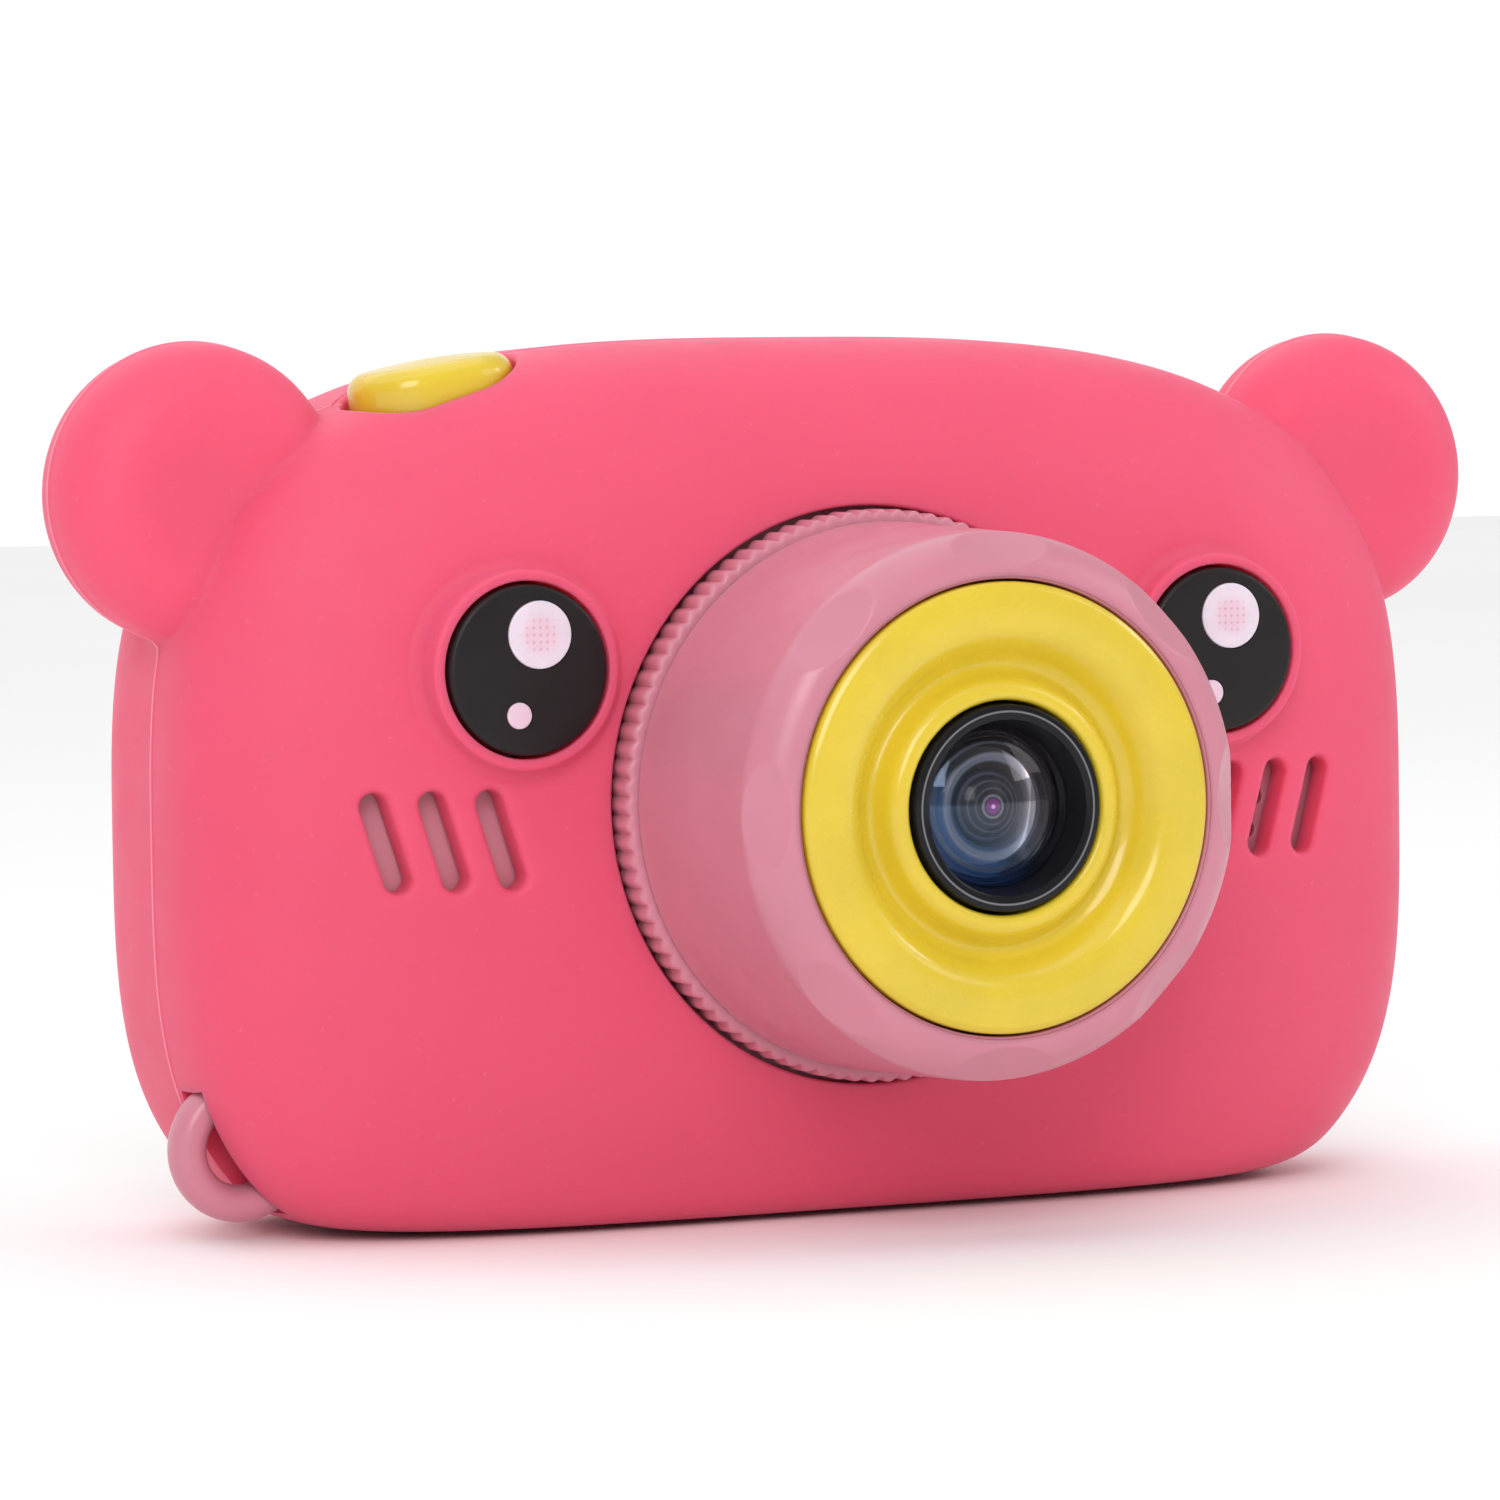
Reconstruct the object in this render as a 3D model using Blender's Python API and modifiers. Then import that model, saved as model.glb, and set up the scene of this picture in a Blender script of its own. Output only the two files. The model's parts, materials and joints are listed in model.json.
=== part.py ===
"""Kids digital camera in a soft bear-shaped cover, built as separate parts.

Run with: blender --background --python part.py
Metres, +Z up. The camera looks along -Y, stands on its flat bottom at Z = 0, and +X is to the
right as seen from the front. "Left" and "right" in names are as seen from the front.
"""
import math

import bmesh
import bpy
from mathutils import Matrix, Vector

MM = 0.001
GAP = 0.3 * MM               # running gap between two pieces that touch
SNUG = 0.08 * MM             # gap round an inlay

# Soft outer body: a rounded block, fuller at the back than at the front
FACE_Y = -5.92 * MM           # plane of the front face at its middle
PARTING_Y = FACE_Y + 15.0 * MM
HALF_WIDTH = 48.8 * MM
BODY_TOP = 62.5 * MM
WAIST_Z = 28.2 * MM          # height at which the body is widest
BOTTOM_REACH = 33.4 * MM     # half height of the lower outline before it is levelled off
FRONT_DEPTH = 15.0 * MM
REAR_DEPTH = 17.2 * MM
TOP_ROUNDNESS = 3.13         # superellipse powers: 2 is an ellipse, larger is squarer
BOTTOM_ROUNDNESS = 3.5
FRONT_EDGE = 3.13
REAR_EDGE = 5.0
LEVEL_BLEND = 3.0 * MM       # height over which the bottom runs into its flat
BODY_SEGMENTS = 44
BODY_RINGS = 22

COVER_WALL = 2.2 * MM
SHELL_INSET = COVER_WALL + GAP
SHELL_WALL = 1.8 * MM
CAVITY_INSET = SHELL_INSET + SHELL_WALL
SPLIT_Y = FACE_Y + 16.0 * MM   # where the front shell meets the rear shell

EAR_X = 45.4 * MM
EAR_Z = 52.0 * MM
EAR_RADIUS = 10.6 * MM
EAR_HALF_THICKNESS = 6.0 * MM
EAR_POWER = 2.6
EAR_DISH_RADIUS = 7.0 * MM
EAR_DISH_DEPTH = 1.6 * MM

EYE_X = 27.1 * MM
EYE_Z = 39.7 * MM
EYE_RADIUS = 5.9 * MM
EYE_FRONT = FACE_Y - 1.2 * MM
EYE_BACK = FACE_Y + 2.7 * MM
EYE_BOSS_RADIUS = 6.9 * MM
EYE_BOSS_FRONT = FACE_Y - 0.9 * MM
FLASH_RADIUS = 2.35 * MM
FLASH_OFFSET = (0.8 * MM, 2.4 * MM)
GLINT_RADIUS = 0.92 * MM
GLINT_OFFSET = (-0.8 * MM, -3.1 * MM)
GLINT_DEPTH = 0.8 * MM
INLAY_PROUD = 0.05 * MM
LED_FRONT = FACE_Y + 7.0 * MM

SLOT_LENGTH = 7.2 * MM
SLOT_WIDTH = 1.9 * MM
SLOT_LEAN = math.radians(17.0)
SLOT_XS = (28.4 * MM, 32.4 * MM, 36.4 * MM)
SLOT_Z = 28.0 * MM
SOUND_HOLE_RADIUS = 0.62 * MM
SOUND_HOLE_SPACING = 2.5 * MM

LENS_Z = 30.1 * MM
BARREL_BACK = FACE_Y + 2.1 * MM
BARREL_FRONT = FACE_Y - 19.6 * MM
BARREL_BASE_RADIUS = 19.3 * MM
BARREL_FRONT_RADIUS = 18.75 * MM
BARREL_EDGE = 3.0 * MM
BARREL_WALL = 1.9 * MM
BARREL_STEPS = 48
GRIP_OUTER = 20.15 * MM
GRIP_RIB_HEIGHT = 0.45 * MM
GRIP_RIBS = 84
GRIP_BORE = 18.4 * MM
GRIP_FRONT = FACE_Y - 1.4 * MM
GRIP_BACK = FACE_Y + 1.8 * MM
DIMPLES = 8
DIMPLE_SPHERE = 20.0 * MM
DIMPLE_DEPTH = 0.55 * MM
BEZEL_RADIUS = 15.35 * MM
BEZEL_FRONT = FACE_Y - 20.0 * MM
BEZEL_BACK = FACE_Y - 16.0 * MM
BEZEL_SEAT_BACK = BEZEL_BACK + 1.8 * MM
TRIM_RADIUS = 7.05 * MM
TRIM_FRONT = FACE_Y - 19.65 * MM
TRIM_BACK = FACE_Y - 13.5 * MM
DOME_RADIUS = 5.4 * MM
DOME_EDGE_Y = FACE_Y - 17.7 * MM
DOME_RISE = 1.3 * MM
BARREL_SCREWS = 3
BARREL_SCREW_CIRCLE = 14.6 * MM
BARREL_BOSS_RADIUS = 2.6 * MM
CABLE_HOLE_RADIUS = 9.0 * MM

SHUTTER_X = -28.8 * MM
SHUTTER_Y = FACE_Y + 12.3 * MM
SHUTTER_TOP_Z = 61.2 * MM
SHUTTER_LENGTH = 12.0 * MM
SHUTTER_DEPTH = 8.8 * MM
SHUTTER_TILT = math.radians(-9.0)
SHUTTER_SKIRT = 4.6 * MM
SHUTTER_TRAVEL = 1.0 * MM
SHUTTER_CLEARANCE = 0.45 * MM

LOOP_X = -43.7 * MM
LOOP_Z = 6.6 * MM
LOOP_Y = FACE_Y + 12.6 * MM
LOOP_RADIUS = 3.85 * MM
LOOP_THICKNESS = 2.5 * MM
LOOP_SLOT_WIDTH = 3.3 * MM

PANEL_Y = FACE_Y + 30.4 * MM   # rear panel face
PANEL_Z = 31.0 * MM
PANEL_HALF_WIDTH = 39.5 * MM
PANEL_HALF_HEIGHT = 23.5 * MM
PANEL_ROUNDNESS = 3.4
PANEL_WALL = 2.5 * MM
PANEL_SIDE_WALL = 1.6 * MM
PANEL_CLEARANCE = 0.4 * MM
PANEL_SEGMENTS = 44

SCREEN_X = 8.0 * MM
SCREEN_Z = PANEL_Z
WINDOW_SIZE = (46.0 * MM, 35.0 * MM)
WINDOW_THICKNESS = 1.0 * MM
SCREEN_APERTURE = (41.0 * MM, 31.0 * MM)
LCD_SIZE = (44.0 * MM, 33.0 * MM)
LCD_BACK = FACE_Y + 24.4 * MM
LCD_THICKNESS = 2.2 * MM
GASKET_THICKNESS = 0.7 * MM

BOARD_SIZE = (65.0 * MM, 39.0 * MM)
BOARD_Z = 30.5 * MM
BOARD_FRONT = FACE_Y + 19.0 * MM
BOARD_THICKNESS = 1.2 * MM
BOARD_BACK = BOARD_FRONT + BOARD_THICKNESS
PART_SEAT = BOARD_BACK + GAP

KEY_X = -27.0 * MM
KEY_TOP_Y = FACE_Y + 31.4 * MM
KEY_FLANGE_BACK = FACE_Y + 27.6 * MM
KEY_FLANGE_THICKNESS = 1.0 * MM
KEY_FLANGE_LIP = 0.6 * MM
KEY_STEM_RADIUS = 1.2 * MM
KEY_STEM_END = FACE_Y + 23.7 * MM
KEY_CLEARANCE = 0.3 * MM
KEY_RADIUS = 2.4 * MM
OK_RADIUS = 2.8 * MM
PAD_REACH = 7.0 * MM
LOWER_KEY_SHIFT = 4.2 * MM
LOWER_KEY_Z = 18.0 * MM
POWER_KEY_Z = 45.6 * MM
REAR_KEYS = {
    "power": (KEY_X, POWER_KEY_Z, KEY_RADIUS),
    "up": (KEY_X, PANEL_Z + PAD_REACH, KEY_RADIUS),
    "down": (KEY_X, PANEL_Z - PAD_REACH, KEY_RADIUS),
    "left": (KEY_X + PAD_REACH, PANEL_Z, KEY_RADIUS),
    "right": (KEY_X - PAD_REACH, PANEL_Z, KEY_RADIUS),
    "ok": (KEY_X, PANEL_Z, OK_RADIUS),
    "mode": (KEY_X - LOWER_KEY_SHIFT, LOWER_KEY_Z, KEY_RADIUS),
    "playback": (KEY_X + LOWER_KEY_SHIFT, LOWER_KEY_Z, KEY_RADIUS),
}
SWITCH_SIDE = 4.4 * MM
SWITCH_HEIGHT = 1.6 * MM
SWITCH_PLUNGER_RADIUS = 1.0 * MM
SWITCH_PLUNGER_HEIGHT = 0.7 * MM

SIDE_INNER_X = 42.0 * MM     # mouth of both sockets, just inside the shell wall
USB_SIZE = (6.0 * MM, 2.7 * MM, 7.6 * MM)
USB_Z = 19.5 * MM
CARD_SOCKET_SIZE = (14.6 * MM, 1.9 * MM, 14.2 * MM)
CARD_SIZE = (15.0 * MM, 0.9 * MM, 11.0 * MM)
CARD_Z = 34.0 * MM
SOCKET_WALL = 0.3 * MM
PORT_HEIGHT = 4.7 * MM       # opening in the shell in front of each socket

SCREW_X = 39.6 * MM
SCREW_ZS = (11.6 * MM, 45.4 * MM)
POST_RADIUS = 2.7 * MM
SCREW_SHAFT_RADIUS = 1.0 * MM
SCREW_HEAD_RADIUS = 1.9 * MM
SCREW_HEAD_THICKNESS = 1.4 * MM
SCREW_HEAD_Y = FACE_Y + 22.6 * MM
SCREW_TIP_Y = FACE_Y + 11.5 * MM

BATTERY_SIZE = (38.0 * MM, 5.4 * MM, 29.0 * MM)
BATTERY_FRONT = FACE_Y + 11.6 * MM
BATTERY_Z = 29.0 * MM
SPEAKER_RADIUS = 7.0 * MM
SPEAKER_FRONT = FACE_Y + 9.4 * MM
SPEAKER_THICKNESS = 3.6 * MM

ROUND_STEPS = 24
SMALL_STEPS = 12
KEY_STEPS = 18

COVER_PINK = (0.87, 0.10, 0.19)
SHELL_PINK = (0.84, 0.35, 0.45)
YELLOW = (0.83, 0.63, 0.03)
BLACK = (0.02, 0.016, 0.018)

BASE_PAD_SIZE = (46.0 * MM, 17.0 * MM)   # low flat pad under the cover, which the camera stands on
BASE_PAD_Y = 11.3 * MM
BASE_PAD_HEIGHT = 0.4 * MM
BASE_PAD_THICKNESS = 1.6 * MM
EYE_BOSS_ROOT = 4.0 * MM
EYE_CLEARANCE = 3 * SNUG
LENS_HOLE_CLEARANCE = 0.35 * MM
USB_COVER_HOLE = (16.0 * MM, 6.6 * MM, 12.0 * MM)
CARD_COVER_HOLE = (16.0 * MM, 6.6 * MM, 15.6 * MM)
SOUND_HOLE_DROP = 0.5 * MM
PANEL_ROOT_Y = FACE_Y + 22.0 * MM
PANEL_ROOM_FRONT = FACE_Y + 20.0 * MM
WINDOW_CORNER = 3.0 * MM
APERTURE_CORNER = 1.0 * MM
USB_PORT_EXTRA = 2.0 * MM
CARD_PORT_EXTRA = 2.4 * MM
POST_REACH = 20.0 * MM

# where the hidden cutters begin and end, well clear of what they cut
OVERCUT = 1.0 * MM
AHEAD_Y = FACE_Y - 5.0 * MM
BEHIND_Y = PANEL_Y + 5.0 * MM
FRONT_BORE_END = FACE_Y + 9.0 * MM
SLOT_CUT_DEPTH = 6.0 * MM
SHUTTER_CUT_TOP = 6.0 * MM
COVER_SHUTTER_CUT = 9.0 * MM
SHELL_SHUTTER_CUT = 8.6 * MM
PANEL_CUT_DEPTH = 8.0 * MM
PORT_CUT_DEPTH = 18.0 * MM
TRIM_SIZE = 200.0 * MM

GRIP_STEP = 0.2 * MM
COLLAR_LIP = 0.9 * MM
SEAT_TAPER = 1.5 * MM
SEAT_LEDGE = 1.0 * MM
BARREL_BOSS_FRONT = FACE_Y - 8.0 * MM
BARREL_PILOT_FRONT = FACE_Y - 6.0 * MM
BARREL_SCREW_HEAD_Y = FACE_Y + 7.2 * MM
BARREL_SCREW_TIP_Y = FACE_Y - 4.0 * MM
BEZEL_CORNER = 0.8 * MM
BEZEL_EDGE_DROP = 1.3 * MM
BEZEL_DISH = (               # radius, and how far behind the bezel's front the dish lies there
    (TRIM_RADIUS + GAP, 0.9 * MM),
    (7.6 * MM, 0.5 * MM),
    (8.1 * MM, 0.5 * MM),
    (8.7 * MM, 1.1 * MM),
    (9.4 * MM, 2.1 * MM),
    (10.2 * MM, 2.3 * MM),
    (11.0 * MM, 1.6 * MM),
    (11.8 * MM, 0.7 * MM),
    (12.7 * MM, 0.15 * MM),
    (13.6 * MM, 0.0),
    (14.4 * MM, 0.2 * MM),
)
TRIM_CORNER = 0.2 * MM
TRIM_LAND = 0.5 * MM
DOME_LEDGE = 0.9 * MM
DOME_RECESS = 0.4 * MM
DOME_BACK = DOME_EDGE_Y + 1.2 * MM
DOME_SEAT_Y = DOME_EDGE_Y + 1.6 * MM
ELEMENT_FRONT = DOME_BACK + GAP
ELEMENT_PROFILE = (          # radius, and distance behind the front of the lens element
    (0.0, 0.0),
    (1.4 * MM, 0.2 * MM),
    (2.5 * MM, 0.8 * MM),
    (2.5 * MM, 1.8 * MM),
    (0.0, 1.8 * MM),
)
HOLDER_SIZE = (13.0 * MM, 13.0 * MM)
HOLDER_DEPTH = 5.0 * MM
HOLDER_CORNER = 1.5 * MM
HOLDER_BORE = 3.2 * MM
SENSOR_BOARD_SIZE = (16.0 * MM, 16.0 * MM)
SENSOR_BOARD_CORNER = 1.0 * MM
SMALL_BOARD_THICKNESS = 1.0 * MM
SCREW_POINT = 0.8 * MM
SCREW_HEAD_CORNER = 0.5 * MM
LED_SIZE = (5.0 * MM, 4.4 * MM)
LED_THICKNESS = 1.4 * MM
LED_CORNER = 0.6 * MM

SHUTTER_BEVEL = 0.9 * MM
SHUTTER_STEM_RADIUS = 1.8 * MM
SHUTTER_STEM_END = -13.2 * MM    # heights along the button's own axis, from its top
SHUTTER_PLATE_TOP = -10.9 * MM
SHUTTER_PLATE_SIZE = (13.2 * MM, 7.2 * MM)
SHUTTER_PLATE_THICKNESS = 0.9 * MM
SHUTTER_SWITCH_HEIGHT = 2.6 * MM
SHUTTER_BOARD_SIZE = (13.0 * MM, 7.0 * MM)
PLUNGER_STAND = 0.6 * MM
PLUNGER_ROOT = 1.5 * MM
PLUNGER_SINK = 0.5 * MM
KEY_BEVEL = 0.4 * MM
SOCKET_BACK_WALL = 1.0 * MM
CARD_PLAY = (0.2 * MM, 0.4 * MM)
CARD_REST = 1.6 * MM
MAIN_BOARD_CORNER = 1.5 * MM
MICROPHONE_SPOT = (-22.0 * MM, 27.25 * MM)
MICROPHONE_RADIUS = 2.0 * MM
MICROPHONE_HEIGHT = 1.6 * MM
BATTERY_CORNER = 1.0 * MM
BATTERY_PAD_SIZE = (30.0 * MM, 20.0 * MM)
BATTERY_PAD_THICKNESS = 1.5 * MM
SPEAKER_GASKET_THICKNESS = 0.8 * MM
SPEAKER_GASKET_RADIUS = 5.5 * MM
SPEAKER_GASKET_BORE = 4.0 * MM

GLASS_TINT = (0.8, 0.85, 0.9)
VIOLET = (0.25, 0.2, 0.35)
FOIL_GREY = (0.7, 0.7, 0.72)


def reset_scene():
    """Empty the scene and make the two collections."""
    for obj in list(bpy.data.objects):
        bpy.data.objects.remove(obj, do_unlink=True)
    groups = []
    for name in ("kids_camera", "kids_camera_cutters"):
        group = bpy.data.collections.new(name)
        bpy.context.scene.collection.children.link(group)
        groups.append(group)
    return groups


def paint(obj, colour, roughness=0.5, metallic=0.0, transmission=0.0):
    """Give an object its own Principled material."""
    material = bpy.data.materials.new(obj.name + "_finish")
    material.use_nodes = True
    shader = material.node_tree.nodes["Principled BSDF"]
    shader.inputs["Base Color"].default_value = (*colour, 1.0)
    shader.inputs["Roughness"].default_value = roughness
    shader.inputs["Metallic"].default_value = metallic
    shader.inputs["Transmission Weight"].default_value = transmission
    obj.data.materials.append(material)
    return obj


def make_object(name, bm, group, location=(0.0, 0.0, 0.0), smooth=True):
    """Turn a bmesh into a named object in a collection."""
    mesh = bpy.data.meshes.new(name)
    for face in bm.faces:
        face.smooth = smooth
    bm.to_mesh(mesh)
    bm.free()
    obj = bpy.data.objects.new(name, mesh)
    obj.location = location
    group.objects.link(obj)
    if group is CUTTERS:
        obj.hide_render = True
        obj.display_type = "WIRE"
    return obj


def combine(target, tool, operation):
    """Add a live exact Boolean to the target."""
    modifier = target.modifiers.new(operation.title(), "BOOLEAN")
    modifier.operation = operation
    modifier.solver = "EXACT"
    modifier.object = tool
    return target


def cut(target, *tools):
    """Take each tool away from the target."""
    for tool in tools:
        combine(target, tool, "DIFFERENCE")


def join(target, *tools):
    """Merge each tool into the target."""
    for tool in tools:
        combine(target, tool, "UNION")


def box(name, centre, size, group, corner=0.0):
    """A box; corner rounds its four edges that run along Y."""
    bm = bmesh.new()
    bmesh.ops.create_cube(bm, size=1.0)
    bmesh.ops.scale(bm, verts=bm.verts, vec=size)
    if corner:
        along_y = [e for e in bm.edges if abs(e.verts[0].co.y - e.verts[1].co.y) > size[1] / 2]
        bmesh.ops.bevel(bm, geom=along_y, offset=corner, segments=4, profile=0.5, affect="EDGES")
    return make_object(name, bm, group, centre, smooth=False)


def slab(name, x, z, size, front, back, group, corner=0.0):
    """A plate facing the front, from one depth to another."""
    middle = (x, (front + back) / 2, z)
    return box(name, middle, (size[0], back - front, size[1]), group, corner)


def rod(name, x, z, radius, front, back, group, steps=ROUND_STEPS):
    """A cylinder along Y."""
    bm = bmesh.new()
    turn = Matrix.Rotation(math.pi / 2, 4, "X")
    length = back - front
    bmesh.ops.create_cone(bm, cap_ends=True, segments=steps, radius1=radius, radius2=radius,
                          depth=length, matrix=turn)
    return make_object(name, bm, group, (x, (front + back) / 2, z))


def turned(name, x, z, profile, closed, group, steps=ROUND_STEPS):
    """Revolve (radius, y) points about an axis along Y; an open profile ends on the axis."""
    bm = bmesh.new()
    verts = [bm.verts.new((radius, 0.0, -y)) for radius, y in profile]
    for start, end in zip(verts, verts[1:]):
        bm.edges.new((start, end))
    if closed:
        bm.edges.new((verts[-1], verts[0]))
    obj = make_object(name, bm, group, (x, 0.0, z))
    obj.rotation_euler = (math.pi / 2, 0.0, 0.0)
    screw = obj.modifiers.new("Turn", "SCREW")
    screw.steps = steps
    screw.render_steps = steps
    screw.use_merge_vertices = True
    screw.merge_threshold = 0.00001
    screw.use_smooth_shade = True
    return obj


def arc(centre_radius, centre_y, radius, start, end, count):
    """Points of a profile arc; angles in degrees, 0 outwards and 90 to the front."""
    points = []
    for step in range(count + 1):
        angle = math.radians(start + (end - start) * step / count)
        points.append((centre_radius + radius * math.cos(angle), centre_y - radius * math.sin(angle)))
    return points


def outline_prism(name, point_at, count, front, back, group, location=(0.0, 0.0, 0.0)):
    """Extrude a closed outline, given by a function of its angle, along Y."""
    bm = bmesh.new()
    ring = bmesh.ops.create_circle(bm, segments=count, radius=1.0, cap_ends=True)["verts"]
    for vert in ring:
        x, z = point_at(math.atan2(vert.co.y, vert.co.x))
        vert.co = (x, front, z)
    raised = bmesh.ops.extrude_face_region(bm, geom=list(bm.faces))["geom"]
    moved = [item for item in raised if isinstance(item, bmesh.types.BMVert)]
    bmesh.ops.translate(bm, verts=moved, vec=(0.0, back - front, 0.0))
    bmesh.ops.recalc_face_normals(bm, faces=bm.faces)
    return make_object(name, bm, group, location, smooth=False)


def pill_outline(length, width):
    """A stadium outline along X."""
    reach = (length - width) / 2

    def point_at(angle):
        side = math.copysign(reach, math.cos(angle))
        return side + width / 2 * math.cos(angle), width / 2 * math.sin(angle)

    return point_at


def signed_power(value, power):
    """Raise the size of a number to a power and keep its sign."""
    return math.copysign(abs(value) ** power, value)


def level_off(z, floor):
    """Run a curved underside smoothly into a flat at the floor."""
    height = z - floor
    if height <= -LEVEL_BLEND:
        return floor
    if height >= LEVEL_BLEND:
        return z
    return floor + (height + LEVEL_BLEND) ** 2 / (4 * LEVEL_BLEND)


def body_point(unit, inset):
    """Map a point of a unit sphere, whose +Z is the front, onto the rounded body."""
    ring = math.hypot(unit.x, unit.y)
    across = unit.x / ring if ring else 0.0
    upward = unit.y / ring if ring else 0.0
    roundness = TOP_ROUNDNESS if upward > 0 else BOTTOM_ROUNDNESS
    reach = (BODY_TOP - WAIST_Z if upward > 0 else BOTTOM_REACH) - inset
    depth = (FRONT_DEPTH if unit.z > 0 else REAR_DEPTH) - inset
    edge = FRONT_EDGE if unit.z > 0 else REAR_EDGE
    spread = ring ** (2 / edge)
    x = (HALF_WIDTH - inset) * spread * signed_power(across, 2 / roundness)
    y = PARTING_Y - depth * signed_power(unit.z, 2 / edge)
    z = WAIST_Z + reach * spread * signed_power(upward, 2 / roundness)
    return Vector((x, y, level_off(z, max(inset, BASE_PAD_HEIGHT))))


def body_solid(name, inset, group):
    """The whole rounded body as a closed solid, shrunk on every side."""
    bm = bmesh.new()
    bmesh.ops.create_uvsphere(bm, u_segments=BODY_SEGMENTS, v_segments=BODY_RINGS, radius=1.0)
    for vert in bm.verts:
        vert.co = body_point(vert.co, inset)
    return make_object(name, bm, group)


def ear_solid(name, side):
    """A fat round ear with a shallow dish in its front."""
    bm = bmesh.new()
    bmesh.ops.create_uvsphere(bm, u_segments=28, v_segments=14, radius=1.0)
    for vert in bm.verts:
        unit = vert.co.copy()
        ring = math.hypot(unit.x, unit.y)
        spread = EAR_RADIUS * ring ** (2 / EAR_POWER)
        scale = spread / ring if ring else 0.0
        y = -EAR_HALF_THICKNESS * signed_power(unit.z, 2 / EAR_POWER)
        if unit.z > 0 and spread < EAR_DISH_RADIUS:
            y += EAR_DISH_DEPTH * (1 - (spread / EAR_DISH_RADIUS) ** 2) ** 2
        vert.co = (unit.x * scale, y, unit.y * scale)
    return make_object(name, bm, CUTTERS, (side * EAR_X, PARTING_Y, EAR_Z))


def panel_prism(name, grow, front, back, group):
    """The rear panel's outline, extruded."""
    def point_at(angle):
        x = (PANEL_HALF_WIDTH + grow) * signed_power(math.cos(angle), 2 / PANEL_ROUNDNESS)
        z = (PANEL_HALF_HEIGHT + grow) * signed_power(math.sin(angle), 2 / PANEL_ROUNDNESS)
        return x, PANEL_Z + z

    return outline_prism(name, point_at, PANEL_SEGMENTS, front, back, group)


def shutter_prism(name, grow, top, bottom, group):
    """The shutter button's pill outline, extruded along its tilted press axis."""
    outline = pill_outline(SHUTTER_LENGTH + 2 * grow, SHUTTER_DEPTH + 2 * grow)
    prism = outline_prism(name, outline, ROUND_STEPS, -top, -bottom, group)
    prism.location = (SHUTTER_X, SHUTTER_Y, SHUTTER_TOP_Z)
    prism.data.transform(Matrix.Rotation(SHUTTER_TILT, 4, "Y") @ Matrix.Rotation(-math.pi / 2, 4, "X"))
    return prism


def slot_cutter(name, side, x):
    """One leaning cheek slot, cut through the cover only."""
    cutter = outline_prism(name, pill_outline(SLOT_LENGTH, SLOT_WIDTH), SMALL_STEPS,
                           AHEAD_Y, FACE_Y + SLOT_CUT_DEPTH, CUTTERS)
    cutter.location = (side * x, 0.0, SLOT_Z)
    cutter.rotation_euler = (0.0, side * SLOT_LEAN - math.pi / 2, 0.0)
    return cutter


def build_cover():
    """Soft cover with ears, eye bosses, and an opening for everything that shows through it."""
    cover = body_solid("silicone_cover", 0.0, PARTS)
    for side, word in SIDES:
        join(cover, ear_solid("ear_" + word, side))
        join(cover, rod("eye_boss_" + word, side * EYE_X, EYE_Z, EYE_BOSS_RADIUS,
                        EYE_BOSS_FRONT, FACE_Y + EYE_BOSS_ROOT, CUTTERS))
    join(cover, box("base_pad", (0.0, BASE_PAD_Y, BASE_PAD_THICKNESS / 2),
                    (BASE_PAD_SIZE[0], BASE_PAD_SIZE[1], BASE_PAD_THICKNESS), CUTTERS))
    cut(cover, body_solid("cover_cavity", COVER_WALL, CUTTERS))
    cut(cover, panel_prism("cover_rear_opening", PANEL_CLEARANCE, PARTING_Y, BEHIND_Y, CUTTERS))
    cut(cover, rod("cover_lens_hole", 0.0, LENS_Z, GRIP_OUTER + LENS_HOLE_CLEARANCE,
                   AHEAD_Y, PARTING_Y, CUTTERS, BARREL_STEPS))
    for side, word in SIDES:
        cut(cover, rod("cover_eye_hole_" + word, side * EYE_X, EYE_Z, EYE_RADIUS + EYE_CLEARANCE,
                       AHEAD_Y, FRONT_BORE_END, CUTTERS))
        for number, x in enumerate(SLOT_XS, 1):
            cut(cover, slot_cutter(f"cheek_slot_{word}_{number}", side, x))
    cut(cover, shutter_prism("cover_shutter_hole", SHUTTER_CLEARANCE, SHUTTER_CUT_TOP,
                             -COVER_SHUTTER_CUT, CUTTERS))
    cut(cover, rod("cover_loop_slot", LOOP_X, LOOP_Z, LOOP_RADIUS + LOOP_THICKNESS / 2 + GAP,
                   LOOP_Y - LOOP_SLOT_WIDTH / 2, LOOP_Y + LOOP_SLOT_WIDTH / 2, CUTTERS))
    usb_y = PART_SEAT + USB_SIZE[1] / 2
    cut(cover, box("cover_usb_hole", (HALF_WIDTH, usb_y, USB_Z),
                   USB_COVER_HOLE, CUTTERS))
    card_y = PART_SEAT + CARD_SOCKET_SIZE[1] / 2
    cut(cover, box("cover_card_hole", (HALF_WIDTH, card_y, CARD_Z),
                   CARD_COVER_HOLE, CUTTERS))
    return paint(cover, COVER_PINK, 0.45)


def shell_cavity(name, front, back):
    """The room inside the shell, with the screw posts left standing in it."""
    cavity = body_solid(name, CAVITY_INSET, CUTTERS)
    for side, word in SIDES:
        for number, z in enumerate(SCREW_ZS, 1):
            cut(cavity, rod(f"{name}_post_{word}_{number}", side * SCREW_X, z, POST_RADIUS,
                            front, back, CUTTERS, SMALL_STEPS))
    return cavity


def screw_holes(shell, name, radius, front, back):
    """A round hole through each of the four posts."""
    for side, word in SIDES:
        for number, z in enumerate(SCREW_ZS, 1):
            cut(shell, rod(f"{name}_{word}_{number}", side * SCREW_X, z, radius, front, back,
                           CUTTERS, SMALL_STEPS))


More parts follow.
